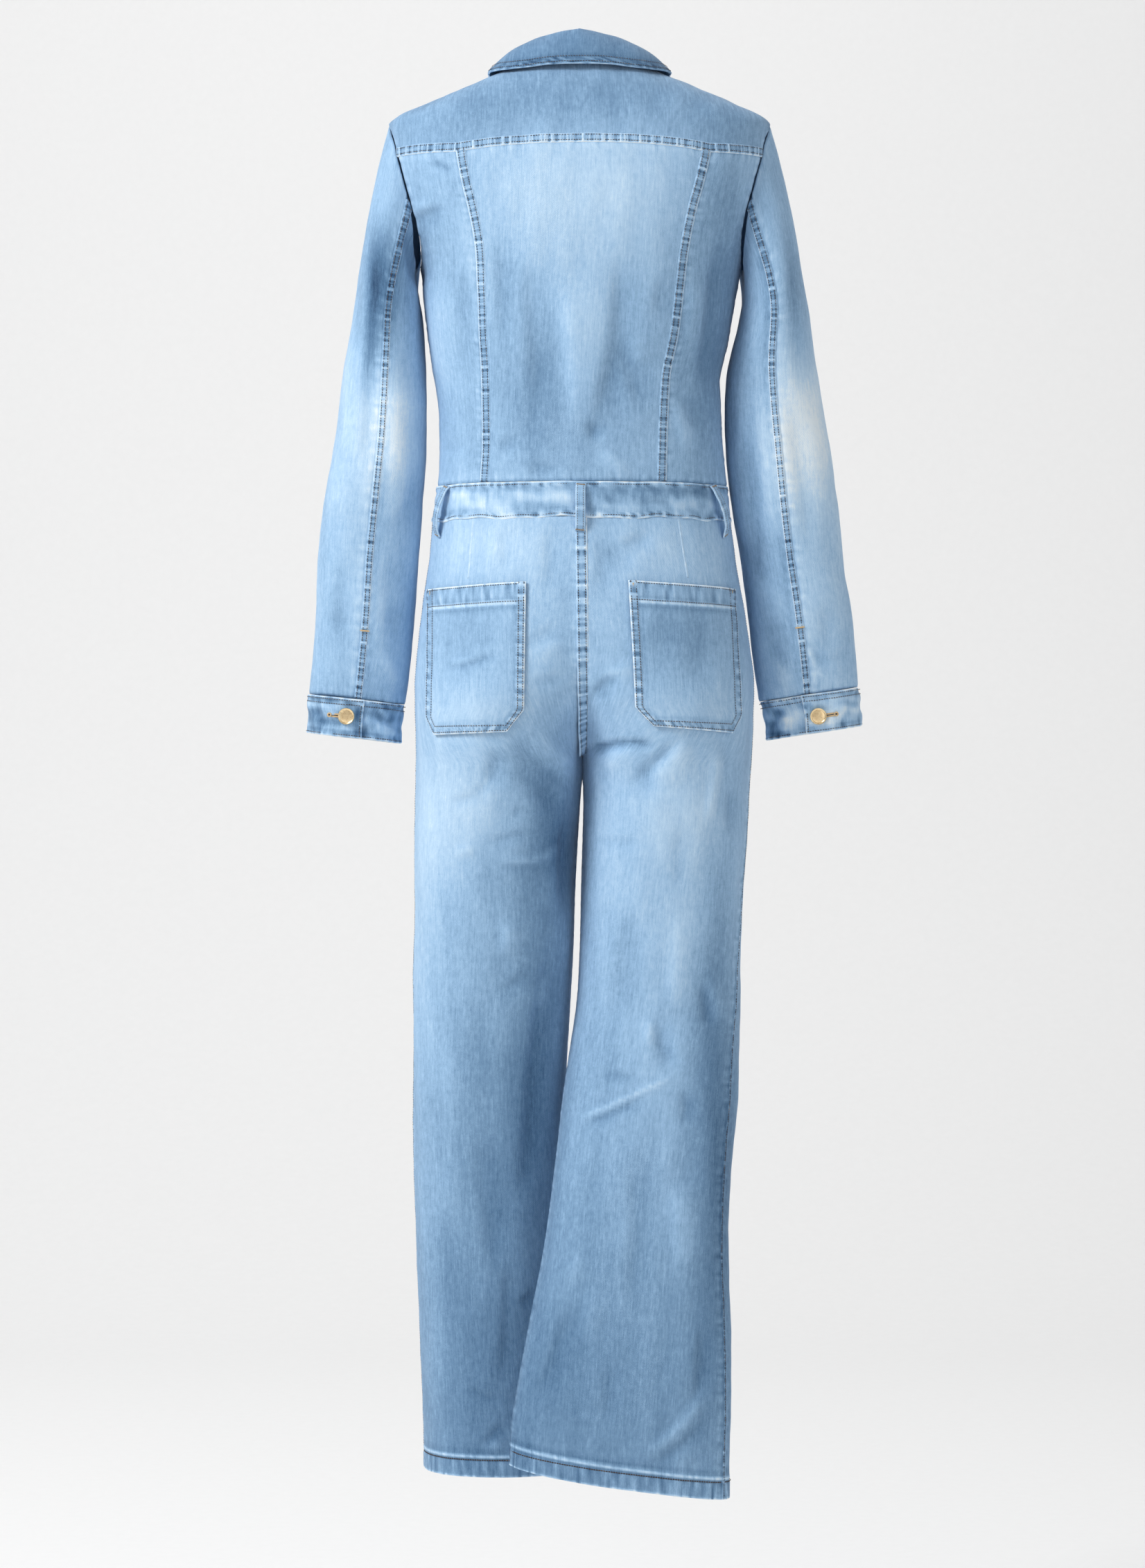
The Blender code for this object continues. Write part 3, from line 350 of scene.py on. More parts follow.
DARTS = {Side.LEFT: (107, 112), Side.RIGHT: (-99, -108)}  # x at the waist and at the pocket
BACK_POCKETS = {
    # x and z of its corners, round from the top corner nearest the centre
    Side.LEFT: (
        (52.6, -529.4), (151.9, -534), (151.9, -663.5), (143, -681), (72.6, -678), (55.3, -656)
    ),
    Side.RIGHT: (
        (-48, -528), (-155.2, -534), (-160.1, -661.4), (-151.2, -679), (-74.2, -672), (-55.6, -652.8)
    ),
}
FRONT_POCKETS = {
    Side.LEFT: (
        (56, -532), (150, -538), (156, -662), (146, -680), (74, -680), (60, -660)
    ),
    Side.RIGHT: (
        (-56, -532), (-156, -538), (-163, -662), (-152, -680), (-74, -680), (-60, -660)
    ),
}


class Form:
    """A surface of the garment: a point for every pair of parameters."""

    b_per_mm = 1.0  # how much the second parameter grows for a millimetre

    def point(self, a: Array, b: Array) -> Array:
        """Points of the surface, in millimetres."""
        raise NotImplementedError

    def middle(self, a: Array, b: Array) -> Array:
        """A point inside the limb beside each place, for which way is out."""
        return np.zeros(3)

    def normal(self, a: Array, b: Array) -> Array:
        """Unit normals that point out of the garment."""
        return normals_of(self.point, a, b, (self.point(a, b) - self.middle(a, b)) * [1, 1, 0])

    def beside(self, a: Array, b: Array, move: Array) -> Places:
        """The places that lie a small way off along the surface.

        Args:
            a: First parameter of each place.
            b: Second parameter of each place.
            move: The way to go from each, in millimetres.

        Returns:
            The parameters of the places reached.
        """
        da, db = 0.3, 0.3 * self.b_per_mm
        u = (self.point(a + da, b) - self.point(a - da, b)) / (2 * da)
        v = (self.point(a, b + db) - self.point(a, b - db)) / (2 * db)
        uu, uv, vv = np.sum(u * u, -1), np.sum(u * v, -1), np.sum(v * v, -1)
        um, vm = np.sum(u * move, -1), np.sum(v * move, -1)
        det = np.maximum(uu * vv - uv * uv, 1e-9)
        return a + (um * vv - vm * uv) / det, b + (vm * uu - um * uv) / det


class Bodice(Form):
    """The body from the waist seam (height 0) up to the neck seam (height 1), by angle."""

    rings = Rings(BODICE)
    b_per_mm = 1 / 430.0

    def point(self, a: Array, b: Array) -> Array:
        """Points of the bodice."""
        angle, at = paired(a, b)
        c, s = compass(angle)
        ring = self.rings.at(at)
        power = 0.92 - 0.10 * bell(at, 0.20, 0.70)
        x = rounded(c, power) * np.where(c > 0, ring["left"], ring["right"])
        y = rounded(s, power) * np.where(s > 0, ring["back"], ring["front"])
        z = c * c * ring["z_side"] + s * s * np.where(s > 0, ring["z_back"], ring["z_front"])
        return np.stack([x, y, z], axis=-1)

    def middle(self, a: Array, b: Array) -> Array:
        """The middle of the body."""
        return np.array([0.0, 0.0, -220.0])


class FrontStrip(Form):
    """The middle of the front, by x and height, for the placket."""

    bodice = Bodice()
    b_per_mm = 1 / 430.0

    def point(self, a: Array, b: Array) -> Array:
        """Points of the front at x = a."""
        ring = Bodice.rings.at(b)
        c = np.clip(np.abs(a) / np.where(np.asarray(a) > 0, ring["left"], ring["right"]), 0, 1)
        return self.bodice.point(-90 + np.sign(a) * np.degrees(np.arcsin(rounded(c, 1 / 0.92))), b)


@dataclass(frozen=True)
class Armhole:
    """The seam that the sleeve is set into, turned from its top towards the back."""

    side: Side
    back: float = 21.5
    front: float = 25.0
    low: float = 0.505
    high: float = 0.835
    yoke_end: float = 60.0
    shoulder: float = -15.0

    def place(self, turn: Array) -> Places:
        """Angle and height on the bodice."""
        turn = np.radians(np.asarray(turn, float))
        s = np.sin(turn)
        angle = np.where(s > 0, self.back, self.front) * rounded(s, 0.85)
        at = self.low + (self.high - self.low) * ((1 + np.cos(turn)) / 2) ** 1.2
        return self.side.angle(angle), at

    def at(self, turn: float) -> Array:
        """The place at one turn."""
        return np.stack(self.place(turn))

    def border(self, start: float, end: float, count: int) -> Array:
        """Places along it from one turn to another."""
        return np.stack(self.place(np.linspace(start, end, count + 1)), axis=-1)


@dataclass
class Sleeve(Form):
    """A sleeve: height 0 at the armhole, 1 at the first level section, 2 at the cuff seam."""

    side: Side
    top_section = -262.0
    b_per_mm = 1 / 380.0
    hang = {Side.LEFT: (-4.5, 5.5), Side.RIGHT: (0.5, 7.5)}  # how its end drops and tilts

    def __post_init__(self) -> None:
        """Finds what it hangs on."""
        self.rings, self.armhole, self.bodice = Rings(SLEEVES[self.side]), Armhole(self.side), Bodice()

    def section(self, turn: Array, z: Array | float, rings: Rings | None = None) -> Array:
        """A point of a level section of the arm. Turn 0 is outside, 90 at the back."""
        turn, z = np.broadcast_arrays(np.asarray(turn, float), np.asarray(z, float))
        c, s = compass(turn)
        ring = (rings or self.rings).at(z)
        x = (ring["outer"] + ring["inner"]) / 2 + (ring["outer"] - ring["inner"]) / 2 * rounded(c, 0.92)
        return np.stack([self.side.sign * x, ring["middle"] + ring["half"] * rounded(s, 0.92), z], axis=-1)

    def drop(self, turn: Array) -> Array:
        """How far its end lies over the level section, lower on the body's side."""
        down, tilt = self.hang[self.side]
        return down + tilt * np.cos(np.radians(turn))

    def point(self, a: Array, b: Array) -> Array:
        """Points of the sleeve by turn and height."""
        turn, down = paired(a, b)
        z = self.top_section + (self.rings.last - self.top_section) * np.clip(down - 1, 0, 1)
        lower, first = self.section(turn, z), self.section(turn, self.top_section)
        lower = lower + (self.drop(turn) * eased((down - 1.5) / 0.5))[..., None] * [0, 0, 1]
        below = self.section(turn, self.top_section - 8.0)
        near = np.abs((turn + 180) % 360 - 180)
        angle, at = self.armhole.place(turn)
        out = normals_of(self.bodice.point, angle, at, self.bodice.point(angle, at) * [1, 1, 0])
        start = self.bodice.point(angle, at) + out * (0.9 * eased((near - 95.0) / 50.0))[..., None]
        reach = np.linalg.norm(first - start, axis=-1, keepdims=True)
        c, s = compass(turn)
        leave = np.stack([self.side.sign * (0.20 + 0.10 * c), 0.16 * s, -np.ones(turn.shape)], axis=-1)
        t = np.clip(down, 0, 1)[..., None]
        head = joined(t, start, reach * leave, first, reach * unit(below - first))
        return np.where(down[..., None] < 1, head, lower)

    def middle(self, a: Array, b: Array) -> Array:
        """The middle of the arm."""
        return np.array([self.side.sign * 207.0, -10.0, 0.0])


class Cuff(Sleeve):
    """A cuff by turn and height in millimetres, lapped over itself at the back."""

    start, end, lift = 62.0, 460.0, 3.1
    top, shrink = -639.2, 0.88  # where it begins, and how much shorter it sits when crumpled
    b_per_mm = 1.0

    def __post_init__(self) -> None:
        """Adds its own sections to the sleeve's."""
        super().__post_init__()
        self.cuff_rings = Rings(CUFFS[self.side])

    def point(self, a: Array, b: Array) -> Array:
        """Points of the cuff."""
        turn, z = paired(a, b)
        lift = self.lift * np.clip((turn - 375.0) / 45.0, 0, 1)
        c, s = compass(turn)
        out = np.stack([self.side.sign * c, s, np.zeros(turn.shape)], axis=-1)
        drop = self.drop(turn) - (1 - self.shrink) * (z - self.top)
        return self.section(turn, z, self.cuff_rings) + lift[..., None] * out + drop[..., None] * [0, 0, 1]

    def middle(self, a: Array, b: Array) -> Array:
        """The middle of the wrist."""
        return np.array([self.side.sign * 232.0, -32.0, 0.0])


class Waistband(Form):
    """The waistband by angle and height in millimetres; its right end laps over the left."""

    top, bottom = WAIST_SEAM, BAND_BOTTOM

    def point(self, a: Array, b: Array) -> Array:
        """Points of the waistband."""
        angle, z = paired(a, b)
        c, s = compass(angle)
        t = (z - self.bottom) / (self.top - self.bottom)
        ring = Bodice.rings.at(0.0)
        left, right = 149.0 + t * (ring["left"] - 149.0), 153.6 + t * (ring["right"] - 153.6)
        back, front = 98.0 + t * (ring["back"] - 98.0), 98.0 + t * (ring["front"] - 98.0)
        lift = 0.4 + 3.1 * np.clip((angle - 238.0) / 17.0, 0, 1)
        x = rounded(c, 0.94 - 0.02 * t) * (np.where(c > 0, left, right) + lift)
        y = rounded(s, 0.94 - 0.02 * t) * (np.where(s > 0, back, front) + lift)
        wave = 0.8 * np.sin(np.radians(angle) * 9 + 1.0) + 0.6 * np.sin(np.radians(angle) * 21 + 2.0)
        return np.stack([x, y, z + wave * (1.2 - t)], axis=-1)


@dataclass
class Leg(Form):
    """A leg by turn and height. Turn 0 is outside, positive to the back."""

    side: Side
    middle_seam = Curve((-760.0, -710.0, -600.0, -462.5), (-3.0, -3.0, -1.6, 0.0))
    rise = {Side.LEFT: (0.0, 0.0), Side.RIGHT: (33.0, 6.0)}  # of the hem, inside and in front

    def __post_init__(self) -> None:
        """Reads its sections."""
        self.rings = Rings(LEGS[self.side])

    def inner_turn(self, z: Array) -> Array:
        """How far round a section reaches: to the middle seam, or all round below it."""
        parted = np.clip(self.rings.at(z)["parted"], 0, 1)
        return np.where(np.asarray(z) <= CROTCH, 180.0, np.degrees(np.arccos(-rounded(parted, 1 / 0.94))))

    def outseam(self, z: Array) -> Array:
        """Where the outseam runs."""
        return self.rings.at(z)["turn"]

    def point(self, a: Array, b: Array) -> Array:
        """Points of the leg."""
        turn, z = paired(a, b)
        c, s = compass(turn)
        ring = self.rings.at(z)
        parted = np.clip(ring["parted"], 0, 1)
        seam = self.side.sign * self.middle_seam(z)
        upper, lower = (ring["outer"] - seam) / (1 + parted), (ring["outer"] - ring["inner"]) / 2
        half = np.where(z > CROTCH, upper, lower)
        centre = np.where(z > CROTCH, seam + upper * parted, ring["inner"] + lower)
        x = 0.2 + centre + half * rounded(c, 0.94)
        y = ring["middle"] + rounded(s, 0.94) * np.where(s > 0, ring["back"], ring["front"])
        near_hem = np.clip((CROTCH - z) / (CROTCH - self.rings.last), 0, 1) ** 3
        inner_rise, front_rise = self.rise[self.side]
        rise = near_hem * (inner_rise * (1 - c) / 2 + front_rise * (1 - s) / 2)
        return np.stack([self.side.sign * x, y, z + rise], axis=-1)

    def middle(self, a: Array, b: Array) -> Array:
        """The middle of the leg at each height."""
        z = paired(a, b)[1]
        ring = self.rings.at(z)
        x = self.side.sign * (ring["outer"] + np.where(z > CROTCH, 0.0, ring["inner"])) / 2
        return np.stack([x, ring["middle"], z], axis=-1)

    def seat_turn(self, x: Array, z: Array) -> Array:
        """The turn whose point lies at this x, above the crotch."""
        ring = self.rings.at(z)
        parted, seam = np.clip(ring["parted"], 0, 1), self.side.sign * self.middle_seam(z)
        half = (ring["outer"] - seam) / (1 + parted)
        c = (self.side.sign * np.asarray(x, float) - 0.2 - seam) / half - parted
        return np.degrees(np.arccos(rounded(np.clip(c, -1, 1), 1 / 0.94)))


class SeatStrip(Form):
    """The middle of the seat, by x from the seam and height, bridging the two legs."""

    left, right = Leg(Side.LEFT), Leg(Side.RIGHT)
    ends = (-4.0, 10.5)

    def point(self, a: Array, b: Array) -> Array:
        """Points of a straight strip from the right leg to the left."""
        x, z = paired(a, b)
        seam = Leg.middle_seam(z)
        start = self.right.point(self.right.seat_turn(seam + self.ends[0], z), z)
        end = self.left.point(self.left.seat_turn(seam + self.ends[1], z), z)
        t = ((x - self.ends[0]) / (self.ends[1] - self.ends[0]))[..., None]
        return start * (1 - t) + end * t

    def normal(self, a: Array, b: Array) -> Array:
        """Normals that point to the back."""
        return normals_of(self.point, a, b, np.array([0.0, 1.0, 0.0]))


def near_turn(turn: Array) -> Array:
    """The same place on the left half of the collar: 0 at the front end, 180 at the back."""
    turn = np.asarray(turn, float)
    return np.where(turn > 180, 360 - turn, turn)


class CollarStand(Form):
    """The stand of the collar, from the neck seam (0) up to the fold (1)."""

    rings = Rings(COLLAR)
    bodice = Bodice()
    b_per_mm = 1 / 30.0

    settled = Curve((0.0, 12.0, 24.0, 40.0, 52.0, 66.0, 76.0, 93.0), (3.2, 2.3, 0.3, -1.0, -3.0, -7.0, -7.8, -6.0))
    raised = Curve((0.0, 30.0, 55.0, 75.0), (4.6, 3.4, 0.8, 0.0))  # of the leaf edge, behind

    def behind(self, turn: Array) -> Array:
        """1 at the back and the sides, down to 0 in front."""
        return eased((np.abs((np.asarray(turn, float) % 360) - 180) - 130) / -30)

    def fold(self, turn: Array) -> Array:
        """Points of the fold line."""
        ring = self.rings.at(near_turn(turn))
        x = ring["fold_x"] * np.where(np.asarray(turn) > 180, -1, 1)
        z = ring["fold_z"] + self.settled(np.abs(x)) * self.behind(turn)
        return np.stack([x, ring["fold_y"], z], axis=-1)

    def point(self, a: Array, b: Array) -> Array:
        """Points of the stand."""
        turn, up = paired(a, b)
        low = self.bodice.point(turn - 90, np.ones(turn.shape)) * [0.985, 0.985, 1] + [0, 0, 0.95]
        return low + (self.fold(turn) - low) * up[..., None]


class CollarFall(CollarStand):
    """The fall of the collar, from the fold (0) over and down to the leaf edge (1)."""

    b_per_mm = 1 / 55.0

    def point(self, a: Array, b: Array) -> Array:
        """Points of the fall, bowed out a little."""
        turn, down = paired(a, b)
        ring = self.rings.at(near_turn(turn))
        high, low = self.fold(turn), self.bodice.point(turn - 90, ring["leaf_at"])
        low = low + ring["lift"][..., None] * normals_of(
            self.bodice.point, turn - 90, ring["leaf_at"], low * [1, 1, 0]
        )
        low = low + (self.raised(np.abs(low[..., 0])) * self.behind(turn))[..., None] * [0, 0.15, 1]
        t = np.clip(down, 0, 1)[..., None]
        bow = ring["bow"][..., None] * np.sin(np.pi * t) ** 0.8
        out = unit(high * [1, 1, 0])
        return high * (1 - t) + low * t + out * (3.9 * (1 - t) + 0.6 * bow) + 0.8 * bow * [0, 0, 1]


# --- creases and wash --------------------------------------------------------------------


@dataclass(frozen=True)
class Crease:
    """A soft trough (depth below 0) or ridge in the cloth."""

    face: Face
    depth: float
    width: float
    fade: float  # the share of its length over which each end dies away
    tint: float  # how much paler its middle is: a painted highlight on a ridge, painted shade in a trough
    points: tuple[tuple[float, float], ...]  # x and z along it


@dataclass(frozen=True)
class FadeAndShade:
    """A patch painted paler (amount above 0) or darker: mostly worn or kept dye, in some places painted shade."""

    face: Face
    x: float
    z: float
    across: float
    along: float
    amount: float


def beside_line(points: Array, line: Array) -> tuple[Array, Array, Array]:
    """How each point lies to a line of points in the plane.

    Args:
        points: N points, x and z.
        line: M points, x and z.

    Returns:
        For each point its distance, whether it is above the line (1) or below it (-1), and the
        share of the line's length at which its foot lies.
    """
    best = np.full(len(points), 1e9)
    above, share = np.zeros(len(points)), np.zeros(len(points))
    step = np.linalg.norm(np.diff(line, axis=0), axis=1)
    start, total = np.concatenate([[0], np.cumsum(step)]), step.sum()
    for k, (a, b) in enumerate(zip(line[:-1], line[1:])):
        along = (b - a) / max(step[k], 1e-9)
        rel = points - a
        t = np.clip(rel @ along, 0, step[k])
        off = rel - t[:, None] * along
        d = np.hypot(off[:, 0], off[:, 1])
        near = d < best
        best[near] = d[near]
        above[near] = np.tanh((off @ np.array([0.5, 0.85]))[near] / 3.0)
        share[near] = ((start[k] + t) / total)[near]
    return best, above, share


def waviness(points: Array, scale: float, seed: int) -> Array:
    """A gentle uneven swell in space, about -1 to 1.

    Args:
        points: N points in millimetres.
        scale: The usual distance between swells.
        seed: Which swell.

    Returns:
        Its height at each point.
    """
    dice = np.random.default_rng(seed)
    total = np.zeros(points.shape[:-1])
    for _ in range(6):
        way = unit(dice.normal(size=3)) * 2 * math.pi / (scale * dice.uniform(0.7, 1.5))
        total += np.sin(points @ way + dice.uniform(0, 6.28))
    return total / 3.0


@dataclass
class Drape:
    """Every crease, patch of dye and patch of painted shade of the garment, read at any place on it."""

    creases: list[Crease]
    fades_and_shades: list[FadeAndShade]

    @staticmethod
    def facing(normals: Array, face: Face) -> Array:
        """How far each place belongs to a half of the garment, 0 to 1."""
        return eased((normals[..., 1] * face.value + 0.25) / 0.45)

    def read(self, points: Array, normals: Array) -> tuple[Array, Array]:
        """Heights of the relief in millimetres, and how pale the wash is.

        Args:
            points: Points of the garment.
            normals: Their normals.

        Returns:
            The height along the normal, and the wash about 0 where it is even.
        """
        shape = points.shape[:-1]
        flat, n = points.reshape(-1, 3), normals.reshape(-1, 3)
        height = 0.75 * waviness(flat, 95.0, 3) + 0.28 * waviness(flat, 36.0, 4)
        upright = waviness(flat * [1.0, 1.0, 0.14], 30.0, 5)
        height, wash_and_shading = height + 0.35 * upright, 0.03 * upright
        share = {face: self.facing(n, face) for face in Face}
        for crease in self.creases:
            line = self.smoothed(np.array(crease.points, float))
            reach = 2.8 * crease.width
            low, high = line.min(axis=0) - reach, line.max(axis=0) + reach
            xz = flat[:, [0, 2]]
            near = ((xz > low) & (xz < high)).all(axis=1) & (share[crease.face] > 0)
            if not near.any():
                continue
            d, above, s = beside_line(xz[near], line)
            reach = crease.width * (1.0 - 0.42 * above)  # steep above, gentle below
            form = bell(d, reach) * eased(np.minimum(s, 1 - s) / crease.fade) * share[crease.face][near]
            height[near] += crease.depth * form
            # Painted shade along a trough and a painted highlight along a ridge, stronger for deeper creases.
            wash_and_shading[near] += (crease.tint + 0.012 * crease.depth) * form
        for fade in self.fades_and_shades:
            # Patches of worn or kept dye, and some patches of painted shade.
            r = ((flat[:, 0] - fade.x) / fade.across) ** 2 + ((flat[:, 2] - fade.z) / fade.along) ** 2
            wash_and_shading += fade.amount * np.exp(-r) * share[fade.face]
        return height.reshape(shape), wash_and_shading.reshape(shape)

    @staticmethod
    def smoothed(line: Array) -> Array:
        """The same line with its corners rounded."""
        for _ in range(2):
            if len(line) > 2:
                cut = np.stack([line[:-1] * 0.75 + line[1:] * 0.25, line[:-1] * 0.25 + line[1:] * 0.75], axis=1)
                line = np.concatenate([line[:1], cut.reshape(-1, 2)[1:-1], line[-1:]])
        return line


# --- finishes ----------------------------------------------------------------------------


class Nodes:
    """A short way to lay out the nodes of one material."""

    def __init__(self, name: str) -> None:
        """Args:
        name: The material's name.
        """
        self.material = bpy.data.materials.new(name)
        self.material.use_nodes = True
        self.tree = self.material.node_tree
        self.shader = self.tree.nodes["Principled BSDF"]

    def add(self, kind: str, inputs: dict | None = None, **settings: object) -> bpy.types.Node:
        """A node with its settings, and its inputs set or linked.

        Args:
            kind: The node type, without its ShaderNode prefix.
            inputs: A value or a socket for each input, by name or number.
            **settings: Attributes of the node.

        Returns:
            The node.
        """
        node = self.tree.nodes.new("ShaderNode" + kind)
        for key, value in settings.items():
            setattr(node, key, value)
        for key, value in (inputs or {}).items():
            if isinstance(value, Socket):
                self.tree.links.new(value, node.inputs[key])
            else:
                node.inputs[key].default_value = value
        return node

    def sum(self, first: Socket, second: Socket, share: float) -> Socket:
        """The first value plus a share of how far the second lies from one half."""
        scaled = self.add("Math", {0: second, 1: -0.5}, operation="ADD")
        return self.add("Math", {0: scaled.outputs[0], 1: share, 2: first}, operation="MULTIPLY_ADD").outputs[0]

    def noise(self, at: Socket, scale: Triple, detail: float) -> Socket:
        """Noise stretched by a scale for each direction."""
        placed = self.add("Mapping", {"Vector": at, "Scale": scale})
        return self.add(
            "TexNoise", {"Vector": placed.outputs[0], "Scale": 1.0, "Detail": detail, "Roughness": 0.6}
        ).outputs["Fac"]

    def ramp(self, at: Socket, stops: Sequence[tuple[float, Triple]]) -> Socket:
        """Colours along a value."""
        node = self.add("ValToRGB", {"Fac": at})
        ramp = node.color_ramp
        while len(ramp.elements) < len(stops):
            ramp.elements.new(0.5)
        for element, (place, colour) in zip(ramp.elements, stops):
            element.position, element.color = place, (*colour, 1.0)
        return node.outputs["Color"]

    def paint(self, **inputs: object) -> None:
        """Sets or links inputs of the shader, with _ for a space in their names."""
        for key, value in inputs.items():
            socket = self.shader.inputs[key.replace("_", " ")]
            if isinstance(value, Socket):
                self.tree.links.new(value, socket)
            else:
                socket.default_value = value


@dataclass(frozen=True)
class Denim:
    """Light-washed denim: vertical slubs, a fine twill and an uneven wash."""

    name: str = "washed denim"
    base: float = 0.58  # the even wash, from 0 (dark) to 1 (white)
    slub: float = 0.30
    streak: float = 0.22
    mottle: float = 0.24
    cloud: float = 0.14
    grain: float = 0.20
    twill: float = 0.05
    roughness: float = 0.88
    sheen: float = 0.12
    relief: float = 0.00022  # metres
    stops: tuple = (
        (0.00, (0.018, 0.055, 0.125)),
        (0.20, (0.076, 0.162, 0.285)),
        (0.40, (0.165, 0.292, 0.455)),
        (0.60, (0.310, 0.490, 0.700)),
        (0.80, (0.490, 0.665, 0.840)),
        (1.00, (0.750, 0.840, 0.900)),
    )

    def material(self) -> bpy.types.Material:
        """The finished material."""
        made = Nodes(self.name)
        cut = made.add("UVMap", uv_map="cut").outputs["UV"]
        place = made.add("TexCoord").outputs["Object"]
        # The wash attribute holds the dye wash together with painted shade and highlights along creases, seams and
        # hems.
        wash_and_shading = made.add("Attribute", attribute_name="wash_and_shading").outputs["Fac"]
        slub = made.noise(cut, (1450.0, 62.0, 1.0), 3.0)
        streak = made.noise(cut, (430.0, 26.0, 1.0), 3.0)
        mottle = made.noise(cut, (210.0, 130.0, 1.0), 4.0)
        grain = made.noise(cut, (1000.0, 600.0, 1.0), 2.0)
        cloud = made.noise(place, (13.0, 13.0, 9.0), 3.0)
        turn = (0.0, 0.0, math.radians(27))
        turned = made.add("Mapping", {"Vector": cut, "Rotation": turn, "Scale": (1.0, 1.0, 1.0)}).outputs[0]
        lines = {"Vector": turned, "Scale": 300.0, "Distortion": 1.5, "Detail": 1.0, "Detail Scale": 2.0}
        twill = made.add("TexWave", lines, wave_type="BANDS", bands_direction="X").outputs["Fac"]
        value = made.add("Math", {0: wash_and_shading, 1: self.base}, operation="ADD").outputs[0]
        for layer, share in (
            (slub, self.slub), (streak, self.streak), (mottle, self.mottle), (cloud, self.cloud),
            (grain, self.grain), (twill, self.twill),
        ):
            value = made.sum(value, layer, share)
        colour = made.ramp(value, self.stops)
        height = made.sum(made.sum(slub, twill, 0.7), mottle, 0.5)
        bump = made.add("Bump", {"Height": height, "Strength": 0.55, "Distance": self.relief})
        made.paint(
            Base_Color=colour, Roughness=self.roughness, Sheen_Weight=self.sheen, Sheen_Roughness=0.5,
            Specular_IOR_Level=0.18, Normal=bump.outputs[0],
        )
        return made.material


@dataclass(frozen=True)
class Thread:
    """Sewing thread, faded from brown to tan along its runs."""

    name: str = "brown thread"
    dark: Triple = (0.062, 0.040, 0.030)
    middle: Triple = (0.200, 0.160, 0.130)
    pale: Triple = (0.700, 0.520, 0.300)

    def material(self) -> bpy.types.Material:
        """The finished material."""
        made = Nodes(self.name)
        tint = made.add("Attribute", attribute_name="wash_and_shading").outputs["Fac"]
        place = made.add("TexCoord").outputs["Object"]
        value = made.sum(tint, made.noise(place, (900.0, 900.0, 900.0), 2.0), 0.4)
        colour = made.ramp(value, ((0.0, self.dark), (0.6, self.middle), (1.0, self.pale)))
        made.paint(Base_Color=colour, Roughness=0.7, Specular_IOR_Level=0.25)
        return made.material


@dataclass(frozen=True)
class ButtonMetal:
    """Light gold metal, brushed and a little worn."""

    name: str = "brushed light gold"
    bright: Triple = (0.95, 0.74, 0.44)
    worn: Triple = (0.78, 0.56, 0.31)

    def material(self) -> bpy.types.Material:
        """The finished material."""
        made = Nodes(self.name)
        place = made.add("TexCoord").outputs["Object"]
        spots = made.noise(place, (420.0, 420.0, 420.0), 4.0)
        brushed = made.noise(place, (3000.0, 3000.0, 220.0), 2.0)
        bump = made.add("Bump", {"Height": brushed, "Strength": 0.25, "Distance": 0.0001})
        rough = made.add("Math", {0: spots, 1: 0.25, 2: 0.17}, operation="MULTIPLY_ADD").outputs[0]
        made.paint(
            Base_Color=made.ramp(spots, ((0.25, self.worn), (0.6, self.bright))), Metallic=1.0,
            Roughness=rough, Normal=bump.outputs[0],
        )
        return made.material


# --- cloth -------------------------------------------------------------------------------


def closed_wall(outer: Array, inner: Array) -> tuple[Array, list[tuple[int, ...]]]:
    """Points and outward faces of the closed wall between two grids.

    Args:
        outer: A grid of points of the right side.
        inner: The same grid on the wrong side.

    Returns:
        Its points and its faces.
    """
    n, m = outer.shape[:2]
    count = n * m
    i, j = np.meshgrid(np.arange(n - 1), np.arange(m - 1), indexing="ij")
    a = (i * m + j).ravel()
    face = np.stack([a, a + m, a + m + 1, a + 1], axis=-1)
    far, last = np.arange(n - 2, -1, -1) * m + m - 1, np.arange(m - 2, 0, -1)
    rim = np.concatenate([np.arange(n) * m, (n - 1) * m + np.arange(1, m), far, last])
    after = np.roll(rim, -1)
    sides = np.stack([after, rim, rim + count, after + count], axis=-1)
    faces = np.concatenate([face, face[:, ::-1] + count, sides])
    points = np.concatenate([outer.reshape(-1, 3), inner.reshape(-1, 3)])
    p, q, r, s = (points[faces[:, k]] for k in range(4))
    volume = np.sum(p * np.cross(q, r)) + np.sum(p * np.cross(r, s))
    return points, (faces if volume > 0 else faces[:, ::-1]).tolist()


def make_piece(
    name: str, points: Array, faces: Iterable, material: bpy.types.Material, slot: str,
    wash_and_shading: Array | None = None, cut: Array | None = None,
) -> bpy.types.Object:
    """A mesh object that rides on the garment, from millimetres.

    Args:
        name: The piece's name.
        points: Its points.
        faces: Its faces, as tuples of point numbers.
        material: Its finish.
        slot: The record's material slot; not used.
        wash_and_shading: How pale each point is, painted shade and highlights included.
        cut: Where each point lies on the flat cloth, in metres.

    Returns:
        The object.
    """
    mesh = bpy.data.meshes.new(name)
    mesh.from_pydata((points * MM).tolist(), [], [tuple(face) for face in faces])
    mesh.update()
    mesh.shade_smooth()
    if wash_and_shading is not None:
        layer = mesh.attributes.new("wash_and_shading", "FLOAT", "POINT")
        layer.data.foreach_set("value", np.ascontiguousarray(wash_and_shading, np.float32))
    if cut is not None:
        corners = np.empty(len(mesh.loops), np.int32)
        mesh.loops.foreach_get("vertex_index", corners)
        layer = mesh.uv_layers.new(name="cut")
        layer.data.foreach_set("uv", np.ascontiguousarray(cut[corners].ravel(), np.float32))
    mesh.materials.append(material)
    obj = bpy.data.objects.new(name, mesh)
    bpy.context.scene.collection.objects.link(obj)
    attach(obj, "root")
    return obj


